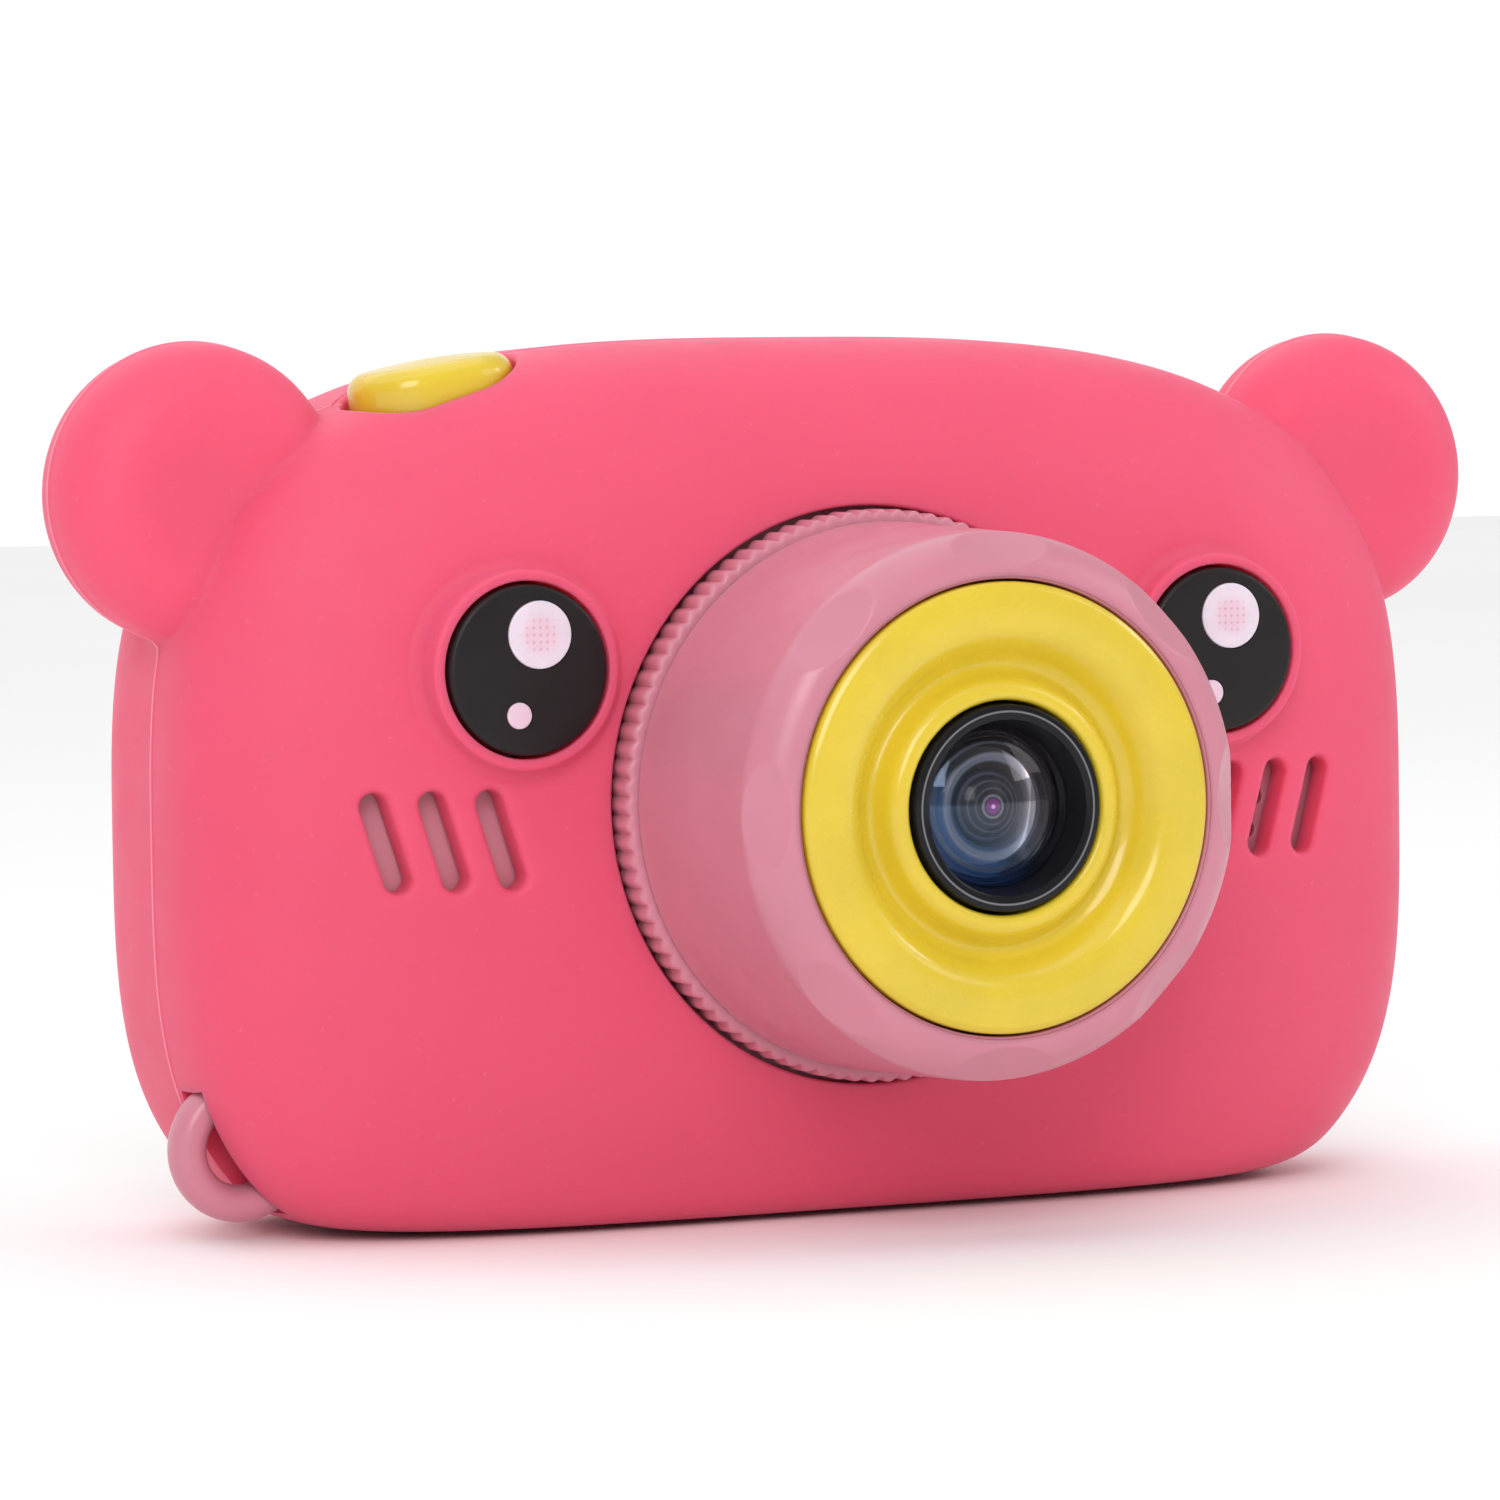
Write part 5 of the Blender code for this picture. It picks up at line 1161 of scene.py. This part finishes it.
def ribbed_skin(size):
    """The ribbed ring: at angle a the n ribs stand height * (1/2 + cos(n a)/2)^0.55 above the foot,
    and both fall away in steps towards the ring's two edges."""
    turn = angles(size.ribs * 12)
    rib = size.rib_height * (0.5 + 0.5 * np.cos(size.ribs * turn)) ** 0.55
    foot = GRIP_HIGH[0] - size.rib_height
    low, high = GRIP_LOW[1], GRIP_HIGH[1]
    ease = np.array((0.0, 0.55, 0.85, 1.0, 1.0, 1.0, 0.85, 0.55, 0.0))[:, None]
    depth = np.concatenate((low + np.array((0.0, 0.08, 0.22, 0.45)) * MM, [(low + high) / 2],
                            high - np.array((0.45, 0.22, 0.08, 0.0)) * MM))[:, None]
    reach = foot - 0.25 * MM * (1 - ease) + rib * ease
    bore = np.full((1, len(turn)), 18.4 * MM)
    radius = np.concatenate((reach, bore, bore))
    y = np.concatenate((depth, [[high], [low]])) + 0 * turn
    grid = np.stack((radius * np.cos(turn), y, LENS_Z + radius * np.sin(turn)), -1)
    return closed_skin(grid, True)


class BEARCAM_OT_barrel(Operator):
    """Lens barrel with finger dimples and the ribbed ring at its foot"""
    bl_idname = "bearcam.barrel"
    bl_label = "Barrel"

    def execute(self, context):
        barrel = rough_piece("lens_tube", barrel_skin(sizes()))
        spots = [axis_of(f"barrel_screw_{number}") for number in (1, 2, 3)]
        back = BARREL_HIGH[1]
        carve(barrel, "UNION", *(bored(*spot, 2.6 * MM, FACE_Y - 8 * MM, back, 40) for spot in spots))
        pilots = [bored(*spot, PILOT_RADIUS, FACE_Y - 6 * MM, back + 5 * MM, 24) for spot in spots]
        carve(barrel, "DIFFERENCE", *pilots)
        plastic = light_plastic(colours())
        finished(barrel, plastic, "camera", "shell_plastic", "lens_barrel")
        ring = rough_piece("ribbed_ring", ribbed_skin(sizes()))
        finished(ring, plastic, "camera", "shell_plastic", "barrel_grip_ring", crease=60.0)
        return {"FINISHED"}


def cap_profile(reach, front, rise, bow, count):
    """Profile of a round cap: from the front on the axis it falls by the rise at the rim, as a
    circle does, whose radius is the reach over the bow."""
    share = np.linspace(0, 1, count)
    fall = (1 - np.sqrt(1 - (bow * share) ** 2)) / (1 - math.sqrt(1 - bow ** 2))
    return np.column_stack((reach * share, front + rise * fall))


def bezel_skin():
    """The bezel's dish. From the rim inwards, at radius r, it sinks by a valley of
    2.1 exp(-|(r - 9.75) / w|^2.3), a soft step of 0.45 / (1 + exp((r - 9.3) / 0.22)) and faint
    turned rings that fade away from the valley, less a low swell near the rim."""
    front, back, outer = BEZEL_LOW[1] / MM, BEZEL_HIGH[1] / MM, BEZEL_RADIUS / MM
    reach = np.linspace(outer - 0.45, 7.75, 64)
    valley, width = 9.75, np.where(reach > 9.75, 1.45, 0.9)
    sink = 2.1 * np.exp(-np.abs((reach - valley) / width) ** 2.3)
    step = 0.45 / (1 + np.exp((reach - 9.3) / 0.22))
    rings = 0.02 * np.cos(reach * 9.0) * np.exp(-((reach - valley) / 1.3) ** 2)
    swell = 0.10 * (1 - ((reach - 13.4) / 1.9) ** 2)
    dish = np.column_stack((reach, front + 0.1 + sink + step + rings - np.clip(swell, 0, 0.1)))
    profile = profile_of(
        arc(outer - 0.45, front + 0.6, 0.45, 0, 72, 7), dish,
        arc(7.72, dish[-1, 1] + 0.42, 0.42, 105, 180, 6), (7.3, back), (outer, back))
    return lathe(0.0, LENS_Z, profile, 256)


def bands_of(*rings):
    """Colour rings given as (radius and width in millimetres, colour, share)."""
    return [(middle * MM, width * MM, colour + (1.0,), share) for middle, width, colour, share in rings]


class BEARCAM_OT_lens(Operator):
    """Bezel, black lens ring, clear dome and the optics behind it"""
    bl_idname = "bearcam.lens"
    bl_label = "Lens"

    def execute(self, context):
        bezel = rough_piece("bezel_dish", bezel_skin())
        finished(bezel, yellow_plastic(colours(), "yellow bezel", 0.012 * MM), "camera", "yellow_plastic",
                 "lens_bezel_ring", crease=50.0)

        ring_low, ring_high = corners("lens_trim_ring")
        radius, front, back = (ring_high[0] - ring_low[0]) / 2 / MM, ring_low[1] / MM, ring_high[1] / MM
        face = FACE_Y / MM
        profile = profile_of(
            (radius, back), (radius, front + 0.2), (radius - 0.08, front + 0.05), (radius - 0.25, front),
            (6.2, front), (6.0, front + 0.08), (5.75, front + 1.3), (5.65, face - 17.9), (5.6, face - 17.75),
            (5.5, face - 16.75), (4.75, face - 16.95), (4.65, face - 16.8), (4.2, face - 16.95),
            (4.1, face - 16.85), (3.65, face - 17.2), (3.5, face - 17.25), (3.25, face - 17.1),
            (3.0, face - 16.95), (2.75, face - 16.7), (2.7, back))
        ring = rough_piece("lens_black_ring", lathe(0.0, LENS_Z, profile, 160))
        axis = (0.0, LENS_Z)
        # the thin light grey ring at 6.55 mm is a painted highlight on the black ring's front
        bands = bands_of((6.55, 0.09, (0.22, 0.22, 0.24), 0.8), (3.4, 0.42, (0.17, 0.19, 0.25), 1.0),
                         (4.35, 0.12, (0.06, 0.07, 0.1), 1.0))
        coating = lens_rings_and_painted_reflection("black lens ring", axis, bands)
        finished(ring, coating, "camera", "black_plastic", "lens_trim_ring", crease=30.0)

        low, high = corners("lens_window")
        reach, rise = (high[0] - low[0]) / 2, 1.3 * MM
        back = np.linspace(0, 1, 22)[::-1]
        inner = np.column_stack((reach * 0.93 * back, high[1] - 0.6 * MM - rise * (1 - back ** 2)))
        profile = np.concatenate((cap_profile(reach, low[1], rise, 0.8, 22), [(reach, high[1])], inner))
        dome = rough_piece("lens_dome", lathe(0.0, LENS_Z, profile, 128, False))
        finished(dome, lens_glass(), "camera", "lens_glass", "lens_window")

        low, high = corners("lens_element")
        reach = (high[0] - low[0]) / 2
        cap = cap_profile(reach, low[1] - 1.2 * MM, 1.1 * MM, 0.9, 16)
        profile = np.concatenate((cap, [(reach, high[1]), (0.0, high[1])]))
        bead = rough_piece("lens_bead", lathe(0.0, LENS_Z, profile, 96, False))
        # the pink-white spot at the bead's middle (radius 0) is a painted highlight on the violet pupil
        bands = bands_of((2.25, 0.14, (0.05, 0.05, 0.08), 1.0), (1.75, 0.1, (0.05, 0.05, 0.08), 1.0),
                         (1.25, 0.1, (0.05, 0.045, 0.07), 1.0), (0.75, 0.13, (0.16, 0.16, 0.18), 1.0),
                         (0.2, 0.5, (0.20, 0.03, 0.20), 1.0), (0.0, 0.2, (0.85, 0.45, 0.85), 1.0))
        finished(bead, lens_rings_and_painted_reflection("violet lens bead", axis, bands), "camera", "lens_glass", "lens_element")
        return {"FINISHED"}


def button_profile(reach, front, back, edge, swell, count=7):
    """A disc seen from its axis: domed front, quarter-round edge, straight side and flat back."""
    share = np.linspace(0, 1, count)[:-1]
    bend = np.radians(np.linspace(90, 0, 6))
    top = np.column_stack(((reach - edge) * share, front + swell * share ** 2))
    rim = np.column_stack((reach - edge + edge * np.cos(bend), front + swell + edge * (1 - np.sin(bend))))
    return np.concatenate((top, rim, [(reach, back), (0.0, back)]))


class BEARCAM_OT_eyes(Operator):
    """Black eye discs with frosted flash diffusers and glints"""
    bl_idname = "bearcam.eyes"
    bl_label = "Eyes"

    def execute(self, context):
        black = black_plastic(colours(), "black eye plastic", 0.4)
        for _, word in SIDES:
            low, high = corners("eye_disc_" + word)
            profile = button_profile((high[0] - low[0]) / 2, low[1], high[1], 0.4 * MM, 0.08 * MM)
            eye = rough_piece("eye_" + word, lathe(*axis_of("eye_disc_" + word), profile, 128, False))
            inlays = []
            # a diffuser's hole goes right through the disc, a glint sits in a shallow recess
            for kind, deeper, dotted in (("flash_diffuser_", 3 * MM, True), ("eye_glint_", 0.05 * MM, False)):
                inlay_low, inlay_high = corners(kind + word)
                spot = axis_of(kind + word)
                reach = (inlay_high[0] - inlay_low[0]) / 2
                back = inlay_high[1] + deeper
                inlays.append(bored(*spot, reach + INLAY_CLEARANCE, low[1] - 2 * MM, back, 72))
                profile = button_profile(reach, inlay_low[1], inlay_high[1], 0.12 * MM, 0.04 * MM)
                part = rough_piece(kind + word + "_inlay", lathe(*spot, profile, 72, False))
                frosted = frosted_plastic(colours(), *spot, 0.5 * MM, dotted)
                finished(part, frosted, "camera", "frosted_plastic", kind + word)
            carve(eye, "DIFFERENCE", *inlays)
            finished(eye, black, "camera", "black_plastic", "eye_disc_" + word)
        return {"FINISHED"}


class BEARCAM_OT_shutter(Operator):
    """Shutter button with its stem and retaining plate"""
    bl_idname = "bearcam.shutter"
    bl_label = "Shutter button"

    def execute(self, context):
        outline, normals = bean(0.0, 144)
        edge, swell, skirt = 1.5 * MM, 0.35 * MM, -4.6 * MM
        bend = np.radians(np.linspace(0, 78, 12))
        shrink = np.concatenate(([0.0, 0.0], edge * (1 - np.cos(bend))))
        levels = np.concatenate(([skirt, -2.6 * MM], -edge - swell * 0.75 + edge * np.sin(bend)))
        rows = [shutter_point(outline * 0, skirt)]
        rows += [shutter_point(outline - normals * cut, level) for cut, level in zip(shrink, levels)]
        rim = outline - normals * shrink[-1]
        # the top falls away from its middle as the share of the reach to the power 2.2
        for share in np.linspace(0.93, 0.0, 12):
            rows.append(shutter_point(rim * share, levels[-1] * share ** 2.2))
        button = rough_piece("shutter_cap", closed_skin(np.stack(rows)))
        carve(button, "UNION", shutter_column(disc(1.8 * MM, 40)[0], -13.2 * MM, -3.8 * MM))
        plate = rounded_box(6.6 * MM, 3.6 * MM, 0.8 * MM, 40)[0]
        carve(button, "UNION", shutter_column(plate, -11.8 * MM, -10.9 * MM))
        yellow = yellow_plastic(colours(), "yellow shutter", 0.01 * MM)
        finished(button, yellow, "shutter_button", "yellow_plastic", "shutter_button", crease=50.0)
        return {"FINISHED"}


def printed(shape, spot, surface):
    """A printed mark: a flat outline laid on a key's domed top, sunk a little into it."""
    points = shape + np.array(spot)
    rows = []
    for share, lift in ((0.0, MARK_SINK), (1.0, MARK_SINK), (1.0, MARK_RISE), (0.66, MARK_RISE),
                        (0.33, MARK_RISE), (0.0, MARK_RISE)):
        flat = np.array(spot) + (points - np.array(spot)) * share
        rows.append(np.column_stack((flat[:, 0], surface(flat) + lift, flat[:, 1])))
    return closed_skin(np.stack(rows))


def triangle(size, angle):
    """A triangle with soft corners that points along an angle: its reach shrinks by 0.3 of the
    size times (1/2 - cos(3a)/2)^0.8 between the corners."""
    turn = angles(36) + angle
    reach = size * (1 - 0.30 * (0.5 - 0.5 * np.cos(3 * (turn - angle))) ** 0.8)
    return np.column_stack((np.cos(turn), np.sin(turn))) * reach[:, None]


class BEARCAM_OT_keys(Operator):
    """Rear keys with domed tops and printed marks"""
    bl_idname = "bearcam.keys"
    bl_label = "Rear keys"

    def execute(self, context):
        yellow = yellow_plastic(colours(), "yellow keys")
        ink = black_plastic(colours(), "printed mark", 0.45)
        crown = sizes().crown
        # seen from behind, so the arrow that points to smaller X is drawn on the right
        marks = {"up": math.pi / 2, "down": -math.pi / 2, "right": math.pi, "left": 0.0, "playback": math.pi}
        bar = rounded_box(0.95 * MM, 0.16 * MM, 0.12 * MM, 24)[0]
        tall = rounded_box(0.17 * MM, 0.55 * MM, 0.12 * MM, 24)[0]
        for key in KEYS:
            name = key + "_button"
            low, high = corners(name)
            x, z = spot = axis_of(name)
            reach, top, edge = key_radius(key), high[1], 0.5 * MM
            collar, stem = reach + KEY_COLLAR, 1.2 * MM
            share = np.linspace(0, 1, 9)[:-1]
            bend = np.radians(np.linspace(90, 0, 7))
            dome = np.column_stack(((reach - edge) * share, top - crown * share ** 2))
            rim = np.column_stack((reach - edge + edge * np.cos(bend), top - crown - edge * (1 - np.sin(bend))))
            profile = np.concatenate((dome, rim, [
                (reach, FACE_Y + 27.8 * MM), (collar, FACE_Y + 27.6 * MM), (collar, FACE_Y + 26.9 * MM),
                (stem, FACE_Y + 26.8 * MM), (stem, low[1]), (0.0, low[1])]))
            profile[:, 1] = np.clip(profile[:, 1], low[1], top)
            cap = rough_piece(key + "_cap", lathe(x, z, profile, 72, False))
            finished(cap, yellow, name, "yellow_plastic", name)

            def surface(flat):
                """The key's domed top: it falls by the crown times the square of the reach's share."""
                return top - crown * ((flat[:, 0] - x) ** 2 + (flat[:, 1] - z) ** 2) / (reach - edge) ** 2

            if key in marks:
                skins = [printed(triangle(1.05 * MM, marks[key]), spot, surface)]
            elif key == "ok":
                skins = [ring_mark(spot, 0.95 * MM, 1.3 * MM, surface)]
            elif key == "power":
                skins = [ring_mark(spot, 0.78 * MM, 1.08 * MM, surface, 0.75),
                         printed(tall, (x, z + 0.75 * MM), surface)]
            else:
                skins = [printed(bar, (x, z + shift), surface) for shift in (-0.6 * MM, 0.0, 0.6 * MM)]
            mark = rough_piece(key + "_mark", *skins)
            finished(mark, ink, key + "_button", "black_plastic")
        return {"FINISHED"}


def ring_mark(spot, inner, outer, surface, gap=0.0):
    """A printed ring on a key's domed top; gap leaves it open by an angle each side of the top."""
    if gap:
        turn = np.linspace(math.pi / 2 + gap, math.pi / 2 + math.tau - gap, 49)
    else:
        turn = angles(64)
    rows = []
    ways = np.column_stack((np.cos(turn), np.sin(turn)))
    for reach, lift in ((inner, MARK_SINK), (outer, MARK_SINK), (outer, MARK_RISE), (inner, MARK_RISE)):
        flat = np.array(spot) + ways * reach
        rows.append(np.column_stack((flat[:, 0], surface(flat) + lift, flat[:, 1])))
    grid = np.stack(rows)
    if not gap:
        return closed_skin(grid, True)
    grid = grid.transpose(1, 0, 2)
    return closed_skin(np.concatenate((grid[:1], grid, grid[-1:])))


class BEARCAM_OT_screen(Operator):
    """Screen window"""
    bl_idname = "bearcam.screen"
    bl_label = "Screen"

    def execute(self, context):
        low, high = corners("lcd_window")
        half = (high - low) / 2
        points, normals = turned_by(rounded_box(half[0], half[2], 3.0 * MM, 128), 0.0, axis_of("lcd_window"))
        edge = 0.22 * MM
        rows = [(middle_of(points), low[1]), (points, low[1])]
        for angle in np.radians(np.linspace(0, 90, 6)):
            level = high[1] - edge * (1 - math.sin(angle))
            rows.append((points - normals * edge * (1 - math.cos(angle)), level))
        rows.append((middle_of(points), high[1]))
        glass = rough_piece("screen_glass", closed_skin(layered(rows)[..., XZ]))
        finished(glass, screen_finish(), "camera", "screen_cover", "lcd_window")
        return {"FINISHED"}


class BEARCAM_OT_card(Operator):
    """Memory card with a groove for the fingernail"""
    bl_idname = "bearcam.card"
    bl_label = "Memory card"

    def execute(self, context):
        low, high = corners("memory_card")
        half, middle = (high - low) / 2, (high + low) / 2
        points, normals = turned_by(rounded_box(half[0], half[2], 0.6 * MM, 64), 0.0, (middle[0], middle[2]))
        edge = 0.12 * MM
        rows = [(middle_of(points), low[1])]
        for angle in np.radians(np.linspace(-90, 90, 9)):
            level = middle[1] + (half[1] - edge) * np.sign(angle) + edge * math.sin(angle)
            rows.append((points - normals * edge * (1 - math.cos(angle)), level))
        rows.append((middle_of(points), high[1]))
        card = rough_piece("card_body", closed_skin(layered(rows)[..., XZ]))
        groove = rounded_box(0.35 * MM, half[2] * 0.8, 0.3 * MM, 32)
        groove = turned_by(groove, 0.0, (high[0] - 1.3 * MM, middle[2]))
        carve(card, "DIFFERENCE", straight_hole(groove, high[1] - 0.22 * MM, high[1] + 1 * MM))
        finished(card, card_plastic(low, middle), "memory_card", "card_plastic", "memory_card")
        return {"FINISHED"}


class BEARCAM_OT_inner(Operator):
    """Finishes for the parts that the frame already shapes well"""
    bl_idname = "bearcam.inner"
    bl_label = "Inner parts"

    def execute(self, context):
        plastics = {
            "switch_plastic": ("switch plastic", (0.05, 0.05, 0.055), 0.45, 0.15 * MM, 0.004 * MM, 0.15,
                               2 * MM),
            "speaker_plastic": ("speaker plastic", (0.035, 0.035, 0.04), 0.5, 0.2 * MM, 0.01 * MM, 0.2,
                                3 * MM),
            "display": ("display panel", (0.03, 0.035, 0.045), 0.15, 0.3 * MM, 0.001 * MM, 0.1, 8 * MM),
        }
        finishes = {slot: moulded(*values).material for slot, values in plastics.items()}
        finishes["led"] = moulded("phosphor", (0.85, 0.72, 0.2), 0.3, 0.1 * MM, 0.002 * MM, 0.08, 1 * MM,
                                  Coat_Weight=0.5).material
        finishes["circuit_board"] = solder_mask()
        finishes["steel"] = metal("plated steel", (0.62, 0.62, 0.64), 0.28, (1.0, 1.0, 6.0))
        finishes["foil"] = foil()
        finishes["foam"] = foam()
        finishes["black_plastic"] = black_plastic(colours(), "inner black plastic", 0.5)
        slots = {part["node"]: part["material_slot"] for part in frame["record"]["subparts"]}
        for name, node in NODES.items():
            if node.hide_render:
                continue
            material = finishes[slots[name]]
            for place in node.material_slots:
                place.material = material
            if not node.material_slots:
                node.data.materials.append(material)
        return {"FINISHED"}


class BEARCAM_OT_stage(Operator):
    """Pale floor, soft studio light and the camera"""
    bl_idname = "bearcam.stage"
    bl_label = "Stage"

    def execute(self, context):
        scene = context.scene
        stage = scene.bear_camera_stage
        floor = bpy.data.meshes.new("floor")
        reach = 3.0
        rim = [(-reach, -reach, 0.0), (reach, -reach, 0.0), (reach, reach, 0.0), (-reach, reach, 0.0)]
        floor.from_pydata(rim, [], [(0, 1, 2, 3)])
        ground = bpy.data.objects.new("floor", floor)
        scene.collection.objects.link(ground)
        nodes = moulded("pale floor", tuple(stage.floor), 0.9, 2 * MM, 0.01 * MM, 0.01, 0.4)
        floor.materials.append(nodes.material)

        world = bpy.data.worlds.new("studio")
        world.use_nodes = True
        scene.world = world
        tree = world.node_tree
        back = tree.nodes["Background"]
        way = tree.nodes.new("ShaderNodeTexCoord")
        split = tree.nodes.new("ShaderNodeSeparateXYZ")
        fade = tree.nodes.new("ShaderNodeMapRange")
        fade.interpolation_type = "SMOOTHSTEP"
        # the surroundings are bright behind the object and dim in front of it
        for socket, value in zip(fade.inputs[1:5], (0.45, 0.8, 0.5 * stage.light, 1.05 * stage.light)):
            socket.default_value = value
        tree.links.new(way.outputs["Generated"], split.inputs[0])
        tree.links.new(split.outputs[1], fade.inputs[0])
        tree.links.new(fade.outputs[0], back.inputs["Strength"])
        back.inputs["Color"].default_value = (1.0, 1.0, 1.0, 1.0)

        sun = bpy.data.lights.new("ceiling", "SUN")
        sun.energy = 1.15 * stage.light
        sun.angle = math.radians(80.0)
        ceiling = bpy.data.objects.new("ceiling", sun)
        ceiling.location = (0.0, 0.0, 1.0)
        ceiling.rotation_euler = (math.radians(-12.0), math.radians(-10.0), 0.0)
        scene.collection.objects.link(ceiling)
        aim = Vector(((CAD_BOX[0][0] + CAD_BOX[1][0]) / 2, 0.0, 0.03))
        lamps = (
            ("front_left_softbox", (-0.45, -0.85, 0.55), (0.5, 0.6), 4.6, (1.0, 1.0, 1.0)),
            ("front_right_softbox", (0.75, -0.6, 0.5), (0.35, 0.5), 0.9, (1.0, 0.98, 0.99)),
            ("window", (0.61, -0.15, 0.33), (0.09, 0.12), 0.3, (0.97, 0.98, 1.0)),
        )
        for name, place, size, power, colour in lamps:
            data = bpy.data.lights.new(name, "AREA")
            data.shape = "RECTANGLE"
            data.size, data.size_y = size
            data.energy = power * stage.light
            data.color = colour
            lamp = bpy.data.objects.new(name, data)
            lamp.location = place
            lamp.rotation_euler = (aim - Vector(place)).to_track_quat("-Z", "Y").to_euler()
            scene.collection.objects.link(lamp)

        data = bpy.data.cameras.new("camera")
        data.sensor_width = 36.0
        data.lens = stage.lens
        data.clip_start = 0.01
        camera = bpy.data.objects.new("camera", data)
        sight = Vector(stage.target) - Vector(stage.eye)
        turn = sight.to_track_quat("-Z", "Y").to_matrix().to_4x4() @ Matrix.Rotation(stage.roll, 4, "Z")
        camera.matrix_world = Matrix.Translation(Vector(stage.eye)) @ turn
        scene.collection.objects.link(camera)
        scene.camera = camera
        scene.view_settings.view_transform = "Standard"
        return {"FINISHED"}


OPERATORS = (
    BEARCAM_OT_cover, BEARCAM_OT_housing, BEARCAM_OT_barrel, BEARCAM_OT_lens, BEARCAM_OT_eyes,
    BEARCAM_OT_shutter, BEARCAM_OT_keys, BEARCAM_OT_screen, BEARCAM_OT_card, BEARCAM_OT_inner,
    BEARCAM_OT_stage,
)
GROUPS = (BearCameraColours, BearCameraSizes, BearCameraStage)


class BEARCAM_PT_panel(Panel):
    """Lists the pieces and the settings they are made from"""
    bl_idname = "BEARCAM_PT_panel"
    bl_label = "Bear Camera"
    bl_space_type = "VIEW_3D"
    bl_region_type = "UI"
    bl_category = "Bear Camera"

    def draw(self, context):
        scene = context.scene
        for settings in (scene.bear_camera_colours, scene.bear_camera_sizes, scene.bear_camera_stage):
            column = self.layout.box().column()
            for key in settings.__annotations__:
                column.prop(settings, key)
        column = self.layout.column()
        for operator in OPERATORS:
            column.operator(operator.bl_idname)


def register():
    """Register the classes and hang the settings on the scene."""
    for item in GROUPS + OPERATORS + (BEARCAM_PT_panel,):
        bpy.utils.register_class(item)
    bpy.types.Scene.bear_camera_colours = PointerProperty(type=BearCameraColours)
    bpy.types.Scene.bear_camera_sizes = PointerProperty(type=BearCameraSizes)
    bpy.types.Scene.bear_camera_stage = PointerProperty(type=BearCameraStage)


def unregister():
    """Undo what register did."""
    for name in ("bear_camera_stage", "bear_camera_sizes", "bear_camera_colours"):
        delattr(bpy.types.Scene, name)
    for item in reversed(GROUPS + OPERATORS + (BEARCAM_PT_panel,)):
        bpy.utils.unregister_class(item)


def main():
    """Make every piece in order."""
    register()
    for operator in OPERATORS:
        group, name = operator.bl_idname.split(".")
        getattr(getattr(bpy.ops, group), name)()


if __name__ == "__main__":
    main()
